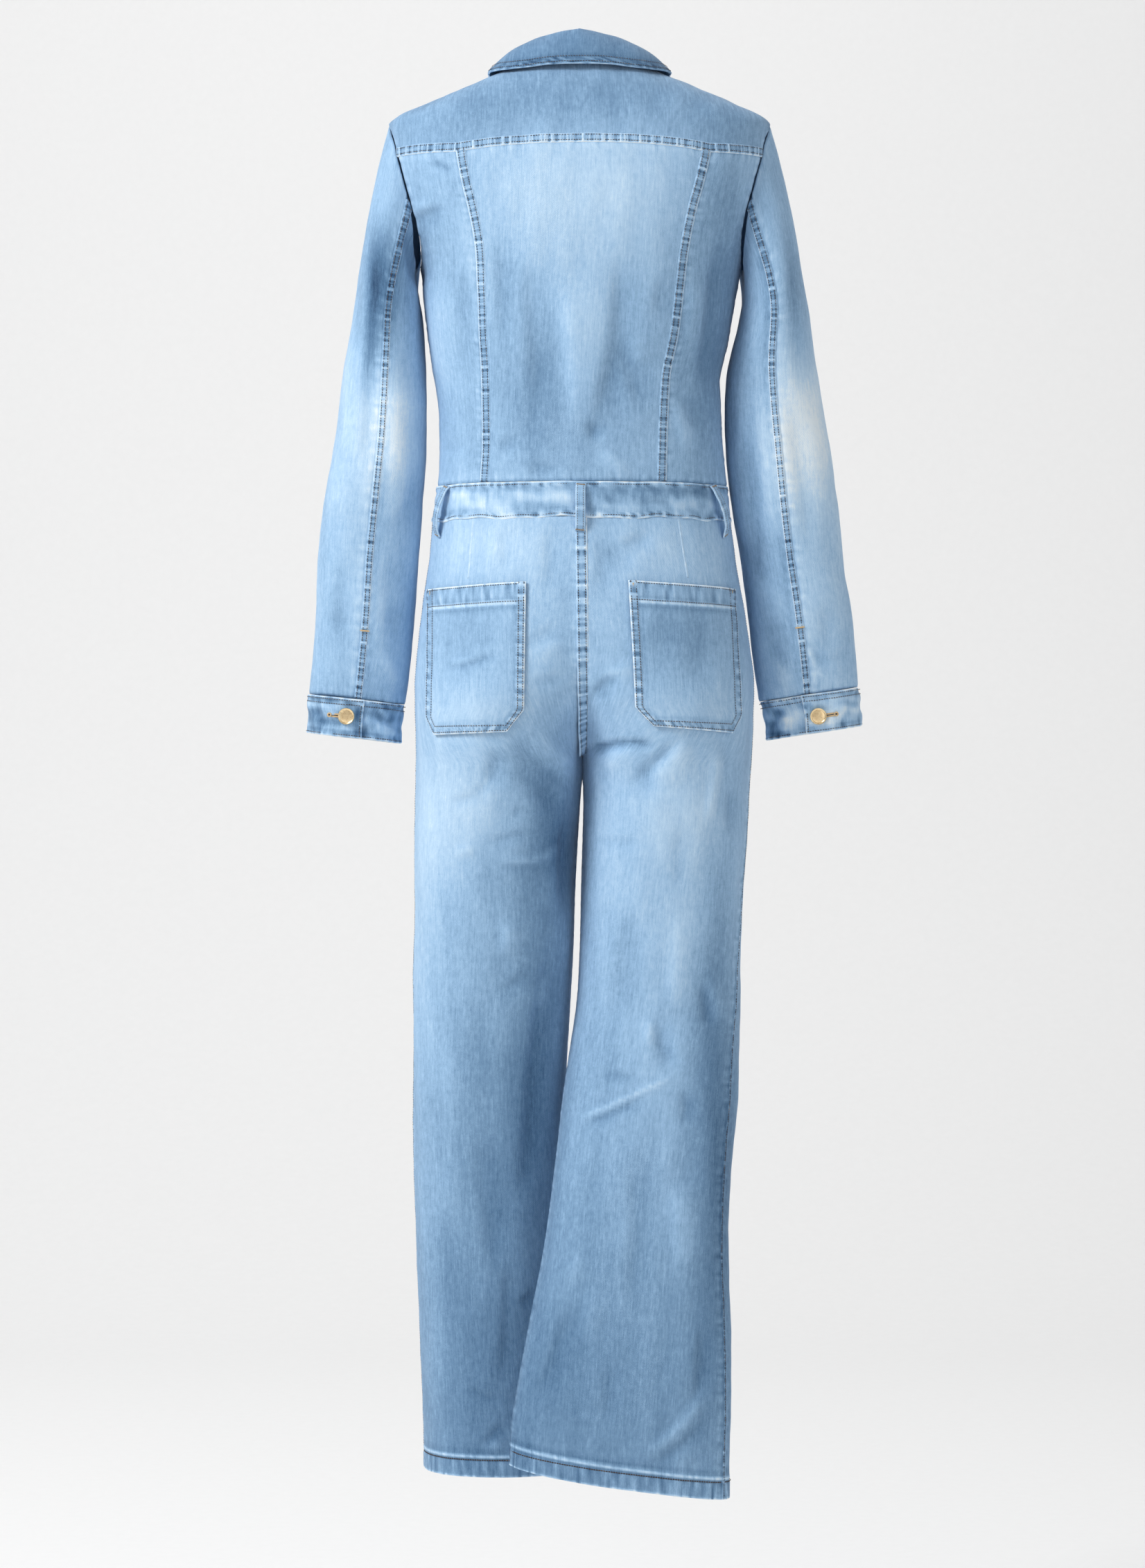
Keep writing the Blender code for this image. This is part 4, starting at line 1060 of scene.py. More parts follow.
@dataclass
class Workroom:
    """What every piece is made with: the drape and the finishes."""

    drape: Drape
    denim: bpy.types.Material
    thread: bpy.types.Material
    metal: bpy.types.Material

    def cloth(
        self, name: str, outer: Array, inner: Array, wash_and_shading: Array, cut: Array, slot: str = "denim"
    ) -> bpy.types.Object:
        """A closed piece of denim between two grids.

        Args:
            name: The piece's name.
            outer: A grid of points of its right side.
            inner: The same grid on its wrong side.
            wash_and_shading: How pale each place is, painted shade and highlights included.
            cut: Where each place lies on the flat cloth, in metres.
            slot: The record's material slot.

        Returns:
            The object.
        """
        points, faces = closed_wall(outer, inner)
        flat = np.tile(cut.reshape(-1, 2), (2, 1))
        return make_piece(name, points, faces, self.denim, slot, np.tile(wash_and_shading.ravel(), 2), flat)


def puckers(along: Array, seed: int, length: float = 10.0) -> Array:
    """The uneven gathering beside a sewn line, about -1 to 1, by distance along it."""
    dice = np.random.default_rng(seed)
    total = sum(
        np.sin(along * 2 * math.pi / (length * k) + dice.uniform(0, 6.28)) * dice.uniform(0.5, 1.0)
        for k in (0.62, 0.83, 1.0, 1.37, 1.9)
    )
    return np.asarray(total) / 2.2


SEWN, FOLDED = (Edge.SEAM,) * 4, (Edge.FOLD,) * 4


@dataclass
class Panel:
    """A cut piece of cloth laid on a form: a grid of places and how each border is finished."""

    name: str
    node: str  # the solid that it takes the place of
    form: Form
    places: Places
    edges: tuple[Edge, Edge, Edge, Edge]  # first row, last row, first column, last column
    over: float = 0.0  # how far its right side lies over the form
    thick: float = 1.2
    swell: float = 0.0  # how far its middle stands out more than its borders
    wash_and_shading: float = 0.0
    seed: int = 0
    held: str = "hung"
    slot: str = "denim"
    roll: float = 0.7  # how deep a sewn border sinks
    hem: float = 0.0  # depth of its turned-up hem
    hem_at: int = 1  # which border that is on: the first row (0) or the last (1)
    rubbed: float = 0.0  # how much its raised places are rubbed pale
    felled: float = 0.0  # width of the stitched band along its folded borders
    crumple: float = 0.0  # how far it is crushed in and out
    shade: float = 0.0  # how dark it is beside the lap along its first column
    pinned: bool = False  # whether the last column keeps to the form, without creases

    def build(self, room: Workroom, with_pieces: Sequence[bpy.types.Object] = ()) -> None:
        """Args:
            room: The drape and finishes.
            with_pieces: The laps, stitching and bindings that are on it; not used.
        """
        a, b = np.broadcast_arrays(*(np.asarray(k, float) for k in self.places))
        points, normals = self.form.point(a, b), self.form.normal(a, b)
        down, across = lengths(points, 0), lengths(points, 1)
        ways = (down, down[-1:] - down, across, across[:, -1:] - across)
        runs = (across[:1], across[-1:], down[:, :1], down[:, -1:])
        height, wash_and_shading = room.drape.read(points, normals)
        wash_and_shading = wash_and_shading + self.wash_and_shading
        if self.crumple:
            crushed = np.tanh(1.3 * waviness(points * [1, 1, 2.4], 24.0, self.seed + 2))
            height, wash_and_shading = height + self.crumple * (crushed - 0.4), wash_and_shading + 0.09 * math.sqrt(self.crumple) * crushed
        if self.pinned:
            height = height * eased(ways[3] / 9.0)
        wash_and_shading = wash_and_shading - self.shade * bell(ways[2], 4.5, 8.5)
        sewn = [way for way, edge in zip(ways, self.edges) if edge is not Edge.NONE]
        height = height + self.swell * eased(np.minimum.reduce(sewn) / 14.0)
        height, wash_and_shading = self.bordered(height, wash_and_shading, ways, runs)
        if self.hem:
            rise, tint = self.hemmed(ways[self.hem_at], np.broadcast_to(runs[self.hem_at], a.shape))
            height, wash_and_shading = height + rise, wash_and_shading + tint
        if self.felled:
            height, wash_and_shading = self.banded(height, wash_and_shading, ways, np.abs(points[..., 0]))
        if self.rubbed:
            wash_and_shading = wash_and_shading + self.rubbed * waviness(points * [0.35, 0.35, 2.2], 26.0, self.seed)
            wash_and_shading = wash_and_shading + 0.9 * self.rubbed * waviness(points * [1, 1, 0.3], 8.0, self.seed + 1)
        outer = points + normals * (self.over + height)[..., None]
        inner = points + normals * (self.over + height - self.thick)[..., None]
        middle = points.shape[1] // 2
        half = np.s_[:, middle : middle + 1]
        cut = np.stack([across - across[half], np.broadcast_to(down[half], a.shape)], axis=-1)
        piece = room.cloth(self.name, outer, inner, wash_and_shading, cut * MM + self.seed * 0.37, self.slot)
        width, length = float(across[:, -1].max()) * MM, float(down[-1].max()) * MM
        corners = np.cross(points[1:, 1:] - points[:-1, :-1], points[1:, :-1] - points[:-1, 1:])
        cells = np.linalg.norm(corners, axis=-1)
        area = min(float(cells.sum()) / 2 * MM * MM, width * length)
        area = max(area, 0.3 * width * length)
        list(with_pieces)
        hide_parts(self.node)
        LOG.info("%s: cut %.0f x %.0f mm", self.name, width / MM, length / MM)

    def bordered(self, height: Array, wash_and_shading: Array, ways: Ways, runs: Ways) -> Places:
        """The relief and wash beside its borders: gathered cloth, sunk seams and worn folds.

        Args:
            height: The relief so far.
            wash_and_shading: The wash so far.
            ways: How far each place lies from each border.
            runs: How far along each border it lies.

        Returns:
            Both, finished there.
        """
        for k, (edge, way, run) in enumerate(zip(self.edges, ways, runs)):
            if edge is Edge.NONE:
                continue
            pucker = puckers(np.broadcast_to(run, way.shape), self.seed + k)
            height = height + 0.30 * pucker * bell(way, 5.0, 4.0)
            wash_and_shading = wash_and_shading + 0.08 * pucker * bell(way, 5.0, 4.0)
            if edge is Edge.SEAM:
                height = height - self.roll * bell(way, 1.7)
                # Painted shade along the sunk seam, a little paler just beyond it.
                wash_and_shading = wash_and_shading - 0.10 * bell(way, 2.4) + 0.04 * bell(way, 3, 5)
            else:
                height = height - 0.45 * bell(way, 0.7)
                wash_and_shading = wash_and_shading + (0.26 + 0.12 * pucker) * bell(way, 1.1) - 0.05 * bell(way, 3, 4.5)
        return height, wash_and_shading

    def banded(self, height: Array, wash_and_shading: Array, ways: Ways, out: Array) -> Places:
        """The relief and wash of a stitched band along its folded borders, bolder near the middle.

        Args:
            height: The relief so far.
            wash_and_shading: The wash so far.
            ways: How far each place lies from each border.
            out: How far it lies from the middle of the body.

        Returns:
            Both, finished there.
        """
        near = np.minimum(ways[2], ways[3]) if self.hem_at == 0 else np.minimum.reduce(ways)
        near = np.minimum(near, ways[1])
        run = np.where(np.minimum(ways[2], ways[3]) < ways[1], ways[0] + 0.15 * ways[2], ways[2])
        rope = np.tanh(1.3 * (puckers(run, self.seed + 60, 9.0) + 0.7 * puckers(run, self.seed + 61, 5.0)))
        bold = 0.6 + 0.6 * eased(0.5 + (out.mean() - out) / 60.0)
        band = eased((self.felled + 1.0 - near) / 2.0)
        height = height + band * (0.30 + 0.26 * rope * bold) - 0.35 * bell(near - self.felled, 1.4, 1.5)
        # Painted shade in a line just beyond the band's raised edge.
        wash_and_shading = wash_and_shading + band * (0.19 * rope * bold - 0.04) - 0.08 * bell(near - self.felled, 2.0, 2.5)
        wash_and_shading = wash_and_shading + 0.16 * bold * bell(near, 1.3)
        return height, wash_and_shading

    def hemmed(self, up: Array, along: Array) -> Places:
        """The relief and wash of a turned-up hem: thicker cloth, roped along its stitching.

        Args:
            up: How far each place lies above the lower edge.
            along: How far along the hem it lies.

        Returns:
            Its height and how pale it is.
        """
        rope = puckers(along + 0.2 * up, self.seed + 40, 13.0)
        fine = puckers(along + 0.1 * up, self.seed + 41, 5.5)
        inside = eased((self.hem + 1.0 - up) / 3.0)
        groove = bell(up - self.hem, 1.3)
        ridge = bell(up - self.hem, 1.7, 3.2)
        height = inside * (0.55 + 0.35 * rope + 0.12 * fine) - 0.5 * groove + 0.5 * ridge
        # Painted shade in the groove at the stitching, and through shade in a band just beyond the hem.
        wash_and_shading = inside * (-0.03 + 0.09 * rope + 0.09 * fine) - 0.08 * groove + (0.34 + 0.12 * fine) * ridge
        shade = bell(up - self.hem, 3.0, 8.0)
        frayed = bell(up, 1.4)
        return height, wash_and_shading + (0.32 + 0.18 * fine) * frayed - 0.11 * shade


def steps(length: float, pitch: float, fine: Sequence[float] = (0.5, 1.1, 1.8, 2.8, 4.2)) -> Array:
    """Shares of a length for a grid that is finer beside both borders.

    Args:
        length: The length in millimetres.
        pitch: The spacing in the middle.
        fine: The distances of the close lines from each border.

    Returns:
        Rising shares from 0 to 1.
    """
    near = np.array([d for d in fine if d < length / 3])
    start = near[-1] + pitch if len(near) else pitch
    count = max(int(round((length - 2 * start) / pitch)), 1)
    middle = np.linspace(start, length - start, count + 1) if length > 2.5 * start else np.array([length / 2])
    return np.concatenate([[0.0], near, middle, length - near[::-1], [length]]) / length


# --- sewn lines --------------------------------------------------------------------------


class Path:
    """A line along a form, sampled evenly, such as a seam or a row of stitching."""

    def __init__(self, form: Form, a: Array | float, b: Array | float, pitch: float = 2.0) -> None:
        """Args:
        form: The surface that it lies on.
        a: First parameter along it.
        b: Second parameter along it.
        pitch: The spacing of its points, in millimetres.
        """
        a, b = paired(a, b)
        t, dense = np.linspace(0, 1, len(a)), np.linspace(0, 1, max(16 * len(a), 400))
        a, b = np.interp(dense, t, a), np.interp(dense, t, b)
        run = lengths(form.point(a, b), 0)
        count = max(int(round(run[-1] / pitch)), 2)
        self.along = np.linspace(0, run[-1], count + 1)
        self.form, self.a, self.b = form, np.interp(self.along, run, a), np.interp(self.along, run, b)

    @property
    def points(self) -> Array:
        """Its points."""
        return self.form.point(self.a, self.b)

    @property
    def normals(self) -> Array:
        """The outward normals at its points."""
        return self.form.normal(self.a, self.b)

    @property
    def sideways(self) -> Array:
        """Unit vectors across it, along the surface."""
        return unit(np.cross(self.normals, unit(np.gradient(self.points, axis=0))))

    def shifted(self, offset: Array | float, pitch: float = 2.0) -> Path:
        """The line that lies a little to its side."""
        a, b = self.form.beside(self.a, self.b, self.sideways * np.broadcast_to(offset, self.a.shape)[:, None])
        return Path(self.form, a, b, pitch)


def stitch(centre: Array, half: Array, wide: Array, up: Array, full: float = 0.55) -> Array:
    """The ten points of each stitch: a tip, two rings of four and a tip.

    Args:
        centre: The middle of each.
        half: From its middle to its end.
        wide: From its middle to its side.
        up: From its middle to its top.
        full: The share of its half that has its full girth.

    Returns:
        The points, ten for each stitch.
    """
    ring = (wide, up, -wide, -up)
    rings = [centre + half * end + way for end in (-full, full) for way in ring]
    return np.stack([centre - half, *rings, centre + half], axis=-2)


LIP, SLOT_SHADOW = 1.15, -0.6  # tints of a buttonhole: the pale lips, and the dark slot, a painted shadow in the cut


@dataclass
class Stitching:
    """Rows of raised stitches, gathered into one piece."""

    name: str
    room: Workroom
    pitch: float = 2.6  # from one stitch to the next
    length: float = 2.1  # of one stitch
    wide: float = 0.8  # of the thread
    points: list[Array] = field(default_factory=list)
    tints: list[Array] = field(default_factory=list)

    def row(self, path: Path, over: float = 0.0, seed: int = 1, pale: float = 0.16) -> Stitching:
        """Adds one row along a path.

        Args:
            path: Where it runs.
            over: How far the cloth under it lies over the form.
            seed: How the tint varies along it.
            pale: The thread's usual tint, from 0 (dark) to 1.

        Returns:
            This stitching, so that rows can be chained.
        """
        line = Path(path.form, path.a, path.b, self.pitch)
        centres, normals = line.points, line.normals
        along = unit(np.gradient(centres, axis=0))
        height = self.room.drape.read(centres, normals)[0] + over + 0.14
        centres = centres + normals * height[:, None]
        across = np.cross(normals, along) * (self.wide / 2)
        self.points.append(stitch(centres, along * (self.length / 2), across, normals * (self.wide * 0.42)))
        dice = np.random.default_rng(seed)
        drift = puckers(line.along, seed, 34.0)
        tint = pale + 0.30 * drift + dice.uniform(-0.14, 0.14, len(centres))
        self.tints.append(np.repeat(tint[:, None], 10, axis=1))
        return self

    def bar(
        self, centre: Array, normal: Array, along: Array, size: tuple[float, float], pale: float = 0.3
    ) -> Stitching:
        """Adds a bartack, a close block of short stitches.

        Args:
            centre: Its middle.
            normal: Out of the cloth.
            along: The way it is long.
            size: Its length and width.
            pale: The thread's tint.

        Returns:
            This stitching.
        """
        along, across = unit(along), unit(np.cross(normal, along))
        places = np.arange(-size[0] / 2, size[0] / 2, 0.55)
        for k, place in enumerate(places):
            middle = centre + along * place + normal * 0.15
            half = across * (size[1] / 2) * (1 + 0.12 * math.sin(k * 2.4))
            self.points.append(stitch(middle, half, along * 0.3, normal * 0.22, 0.7)[None])
            self.tints.append(np.full((1, 10), pale))
        return self

    def hole(self, path: Path, over: float, keyed: bool = True) -> Stitching:
        """Adds a worked buttonhole: two close lips, a dark slot, and an eye at the path's end.

        Args:
            path: The slot.
            over: How far the cloth lies over the form.
            keyed: Whether it ends in an eye.

        Returns:
            This stitching.
        """
        points, normals, side = path.points, path.normals, path.sideways
        along = unit(np.gradient(points, axis=0))
        top = points + normals * (self.room.drape.read(points, normals)[0] + over + 0.1)[:, None]
        middle, k = top[len(top) // 2], len(top) // 2
        length = float(path.along[-1])
        for way in (-1.0, 1.0):
            self.bar(middle + side[k] * way * 1.25, normals[k], along[k], (length, 1.7), LIP)
        # The slot's dark bar here and the eye's dark middle below are painted shadow in the cut.
        self.bar(middle + normals[k] * 0.02, normals[k], along[k], (length, 0.7), SLOT_SHADOW)
        if keyed:
            eye = top[-1] + along[-1] * 1.6
            for turn in np.linspace(0, 2 * math.pi, 12, endpoint=False):
                way = along[-1] * math.cos(turn) + side[-1] * math.sin(turn)
                self.bar(eye + way * 1.7, normals[-1], np.cross(normals[-1], way), (0.9, 1.6), LIP)
            self.bar(eye, normals[-1], along[-1], (1.8, 1.8), SLOT_SHADOW)
        return self

    def build(self) -> bpy.types.Object:
        """Makes the piece."""
        points, tints = np.concatenate(self.points), np.concatenate(self.tints)
        one = [(0, 1 + (k + 1) % 4, 1 + k) for k in range(4)]
        one += [(1 + k, 1 + (k + 1) % 4, 5 + (k + 1) % 4, 5 + k) for k in range(4)]
        one += [(9, 5 + k, 5 + (k + 1) % 4) for k in range(4)]
        faces = [tuple(10 * i + k for k in face) for i in range(len(points)) for face in one]
        piece = make_piece(self.name, points.reshape(-1, 3), faces, self.room.thread, "denim_trim", tints.ravel())
        LOG.info("%s: %d stitches", self.name, len(points))
        return piece


@dataclass
class Lap:
    """The folded edge that one panel laps over the next, with its rows of stitching."""

    name: str
    path: Path
    start: float  # offset of one edge from the path, along its sideways
    end: float
    over: float = 0.0
    rise: float = 0.55
    pucker: float = 0.30
    worn: float = 0.42  # how pale its edges are
    dark: float = 0.05  # how dark its middle is
    patchy: float = 0.24  # how much it varies along its length
    seed: int = 11
    rows: tuple[float, ...] = ()
    worn_edges: tuple[float, float] = (1.0, 1.0)
    pitch: float = 1.25  # of its mesh, along the path
    close: float = 5.0  # how far apart its small puckers are

    def build(self, room: Workroom, stitching: Stitching | None = None) -> bpy.types.Object:
        """Makes the lap and adds its rows to the stitching.

        Args:
            room: The drape and finishes.
            stitching: Where its rows go.

        Returns:
            The lap.
        """
        width = abs(self.end - self.start)
        shares = steps(width, 1.9, (0.3, 0.9))
        offsets = self.start + (self.end - self.start) * shares
        path = Path(self.path.form, self.path.a, self.path.b, self.pitch)
        side = path.sideways
        a, b = path.form.beside(path.a[:, None], path.b[:, None], side[:, None] * offsets[None, :, None])
        points, normals = path.form.point(a, b), path.form.normal(a, b)
        height, wash_and_shading = room.drape.read(points, normals)
        in_from = np.minimum(shares, 1 - shares)[None] * width
        wave = puckers(path.along + 0, self.seed)[:, None] * np.ones_like(a)
        lean = np.tanh(1.5 * puckers(path.along, self.seed + 5, self.close))[:, None]
        body = eased(in_from / 0.9)
        tops = self.rise * body + self.pucker * (wave + 0.5 * lean) * body
        edge = bell(in_from, 0.8) * np.where(shares < 0.5, *self.worn_edges)[None]
        wash_and_shading = wash_and_shading + self.worn * (0.85 + 0.4 * wave) * edge
        sewn = sum(bell(offsets - row, 1.6) for row in self.rows) + 0 * offsets
        patchy = self.patchy * (0.5 * wave + lean) * (0.5 + 0.7 * sewn) - self.dark - 0.06 * sewn
        wash_and_shading = wash_and_shading + patchy * eased(in_from / 1.6)
        outer = points + normals * (self.over + height + tops)[..., None]
        inner = points + normals * (self.over + height - 0.55)[..., None]
        cut = np.stack([np.broadcast_to(offsets, a.shape), np.broadcast_to(path.along[:, None], a.shape)], axis=-1)
        piece = room.cloth(self.name, outer, inner, wash_and_shading, cut * MM + 0.9 + 0.1 * self.seed)
        if stitching:
            for k, offset in enumerate(self.rows):
                stitching.row(self.path.shifted(offset), self.over + self.rise, self.seed + 20 + k)
        return piece


# --- the garment's sub-assemblies --------------------------------------------------------


def spread(start: Sequence[float], end: Sequence[float], count: int) -> Array:
    """So many places from one to another, each a pair of parameters."""
    t = np.linspace(0, 1, count)[:, None]
    return np.asarray(start, float) * (1 - t) + np.asarray(end, float) * t


def crossed(across: Array, down: Array) -> Places:
    """A grid of places: one parameter along its rows, the other down its columns."""
    first, second = np.meshgrid(across, down, indexing="ij")
    return first.T, second.T


def chain(*parts: Array) -> Array:
    """Borders joined end to end, without the doubled places."""
    return np.concatenate([parts[0]] + [part[1:] for part in parts[1:]])


def resampled(places: Array, form: Form, shares: Array) -> Array:
    """A border's places at shares of its length."""
    parts = [spread(p, q, 25)[:-1] for p, q in zip(places[:-1], places[1:])]
    dense = np.concatenate([*parts, places[-1:]])
    run = lengths(form.point(dense[:, 0], dense[:, 1]), 0)
    at = np.asarray(shares) * run[-1]
    return np.stack([np.interp(at, run, dense[:, k]) for k in (0, 1)], axis=-1)


EVENING = 700  # rounds that even out a patch, so that no square folds over the next


def patch(form: Form, left: Array, right: Array, bottom: Array, top: Array, pitch: float = 4.0) -> Places:
    """A grid of places between four borders; left and right run up, bottom and top across.

    Args:
        form: The surface that carries them.
        left: Places of a border, and likewise the other three.
        right: See left.
        bottom: See left.
        top: See left.
        pitch: The spacing of the grid.

    Returns:
        The grid's two parameters.
    """
    size = [float(lengths(form.point(*border.T), 0)[-1]) for border in (left, right, bottom, top)]
    v, u = steps(max(size[:2]), pitch), steps(max(size[2:]), pitch)
    left, right = (resampled(border, form, v) for border in (left, right))
    bottom, top = (resampled(border, form, u) for border in (bottom, top))
    vv, uu = v[:, None, None], u[None, :, None]
    lower = left[0] * (1 - uu) * (1 - vv) + right[0] * uu * (1 - vv)
    corners = lower + left[-1] * (1 - uu) * vv + right[-1] * uu * vv
    grid = left[:, None] * (1 - uu) + right[:, None] * uu + bottom[None] * (1 - vv) + top[None] * vv - corners
    wu, wv = (
        np.stack([1 / (d[:-1] * (d[:-1] + d[1:])), 1 / (d[1:] * (d[:-1] + d[1:]))]) / (1 / (d[:-1] * d[1:]))
        for d in (np.diff(u), np.diff(v))
    )
    for _ in range(EVENING):
        side = grid[1:-1, :-2] * wu[0][None, :, None] + grid[1:-1, 2:] * wu[1][None, :, None]
        rise = grid[:-2, 1:-1] * wv[0][:, None, None] + grid[2:, 1:-1] * wv[1][:, None, None]
        grid[1:-1, 1:-1] = (side + rise) / 2
    return grid[..., 0], grid[..., 1]


@dataclass
class Body:
    """The bodice: fronts, back panels, yoke and placket, with their laps and stitching."""

    princess: dict = field(default_factory=lambda: {
        Side.LEFT: ((48.2, 0.0), (49.7, 0.20), (52.0, 0.40), (55.8, 0.60), (55.0, 0.738)),
        Side.RIGHT: ((123.1, 0.0), (125.9, 0.20), (128.2, 0.40), (126.7, 0.60), (128.4, 0.738)),
    })
    yoke_middle: float = 0.756
    neck_shoulder: float = -14.0
    lap: float = 8.5  # width of a lapped seam
    stitch_gap: float = 5.6  # between its two rows
    placket: float = 32.0  # width
    placket_over: float = 2.8
    buttons: tuple[float, ...] = (0.045, 0.175, 0.305, 0.435, 0.570, 0.710, 0.850)

    def __post_init__(self) -> None:
        """Finds the forms that everything lies on."""
        self.form, self.strip = Bodice(), FrontStrip()
        self.armholes = {side: Armhole(side) for side in Side}

    def princess_line(self, side: Side) -> Array:
        """Places along the princess seam, from the waist up."""
        p = np.array(self.princess[side])
        at = np.linspace(0, p[-1, 1], 40)
        return np.stack([Curve(p[:, 1], p[:, 0])(at), at], axis=-1)

    def yoke_line(self) -> Array:
        """Places along the whole yoke seam, from the left armhole to the right."""
        ends = [hole.at(hole.yoke_end) for hole in self.armholes.values()]
        left, right = (np.array(self.princess[side][-1]) for side in Side)
        t = np.linspace(0, 1, 33)
        centre = spread(left, right, 33)
        centre[:, 1] += (self.yoke_middle - (left[1] + right[1]) / 2) * 4 * t * (1 - t)
        return chain(spread(ends[0], left, 12), centre, spread(right, ends[1], 12))

    def build(self, room: Workroom) -> None:
        """Makes the whole bodice."""
        self.backs(room)
        self.yoke(room)
        self.fronts(room)
        self.button_stand(room)

    def backs(self, room: Workroom) -> None:
        """The centre back and side backs, and the princess laps over them."""
        form = self.form
        ends = {side: hole.at(hole.yoke_end) for side, hole in self.armholes.items()}
        lines = {side: self.princess_line(side) for side in Side}
        whole = self.yoke_line()
        centre = whole[11:44]
        for side in Side:
            name = side.value
            stitching = Stitching(f"princess_stitching_{name}", room)
            path = Path(form, lines[side][:, 0], lines[side][:, 1] * 0.995 + 0.003)
            way = side.sign
            lap = Lap(
                f"princess_lap_{name}", path, 1.6 * way, -self.lap * way, rise=0.6, worn_edges=(1.5, 0.25),
                rows=(-0.9 * way, (-0.9 - self.stitch_gap) * way), seed=31 if way > 0 else 47,
            ).build(room, stitching)
            under = side.angle(0.0)
            hole, low = self.armholes[side], np.array([under, 0.0])
            seam = spread(low, (under, hole.low), 12)
            border = chain(seam, hole.border(180, hole.yoke_end, 24))
            bottom, top = spread(low, lines[side][0], 9), spread(ends[side], lines[side][-1], 9)
            grid = patch(form, border, lines[side], bottom, top)
            panel = Panel(f"side_back_cloth_{name}", f"side_back_{name}", form, grid, SEWN, seed=3 if way > 0 else 5)
            panel.build(room, [lap, stitching.build()])
        bottom = spread(lines[Side.LEFT][0], lines[Side.RIGHT][0], 12)
        grid = patch(form, lines[Side.LEFT], lines[Side.RIGHT], bottom, centre)
        Panel("centre_back_cloth", "centre_back", form, grid, SEWN, seed=1).build(room)

    def yoke(self, room: Workroom) -> None:
        """The back yoke and the lap along its lower edge."""
        form, whole = self.form, self.yoke_line()
        stitching = Stitching("yoke_stitching", room)
        path = Path(form, whole[:, 0], whole[:, 1])
        lap = Lap(
            "yoke_lap", path, -1.4, self.lap, rise=0.7, pucker=0.36, worn_edges=(1.5, 0.2), close=3.8, pitch=1.0,
            rows=(1.1, 1.1 + self.stitch_gap), seed=61,
        ).build(room, stitching)
        borders = {}
        for side in Side:
            hole = self.armholes[side]
            neck = np.array([side.angle(self.neck_shoulder), 1.0])
            shoulder = spread(hole.at(hole.shoulder), neck, 9)
            borders[side] = chain(hole.border(hole.yoke_end, hole.shoulder, 20), shoulder)
        top = spread(borders[Side.LEFT][-1], borders[Side.RIGHT][-1], 30)
        grid = patch(form, borders[Side.LEFT], borders[Side.RIGHT], whole, top)
        panel = Panel("back_yoke_cloth", "back_yoke", form, grid, SEWN, seed=7, wash_and_shading=-0.10)
        panel.build(room, [lap, stitching.build()])

    def fronts(self, room: Workroom) -> None:
        """The two fronts, with the shoulder seams' stitching."""
        form = self.form
        for side in Side:
            name, under = side.value, side.angle(0.0)
            hole = self.armholes[side]
            seam = spread((under, 0.0), (under, hole.low), 12)
            border = chain(seam, hole.border(-180, hole.shoulder, 33))
            tip, neck = border[-1], np.array([side.angle(self.neck_shoulder), 1.0])
            shoulder = spread(tip, neck, 12)
            end = np.array([side.angle(-90.0), 1.0])
            top = chain(shoulder, spread(neck, end, 12))
            right = spread((end[0], 0.0), end, 30)
            grid = patch(form, border, right, spread(border[0], right[0], 12), top, 4.4)
            way = side.sign
            stitching = Stitching(f"shoulder_stitching_{name}", room)
            path = Path(form, shoulder[1:-1, 0], shoulder[1:-1, 1])
            for offset in (2.0, 7.6):
                stitching.row(path.shifted(offset * way), 0.0, 71)
            panel = Panel(f"front_cloth_{name}", f"front_{name}", form, grid, SEWN, seed=9 if way > 0 else 13)
            panel.build(room, [stitching.build()])

    def button_stand(self, room: Workroom) -> None:
        """The placket with its two rows of stitching and its buttonholes."""
        half = self.placket / 2
        u = -half + self.placket * steps(self.placket, 4.0)
        at = 0.004 + 0.981 * steps(370.0, 4.0)
        stitching = Stitching("placket_stitching", room)
        for x in (-half + 2.0, half - 2.0, half - 8.0):
            stitching.row(Path(self.strip, x, np.linspace(0.006, 0.98, 40)), self.placket_over, 81)
        for at_button in self.buttons:
            slot = Path(self.strip, 0.0, np.linspace(at_button - 0.028, at_button + 0.028, 9), 0.8)
            stitching.hole(slot, self.placket_over, keyed=False)
        Panel(
            "placket_cloth", "placket", self.strip, crossed(u, at), FOLDED, over=self.placket_over, thick=1.3,
            slot="denim_trim", seed=15,
        ).build(room, [stitching.build()])


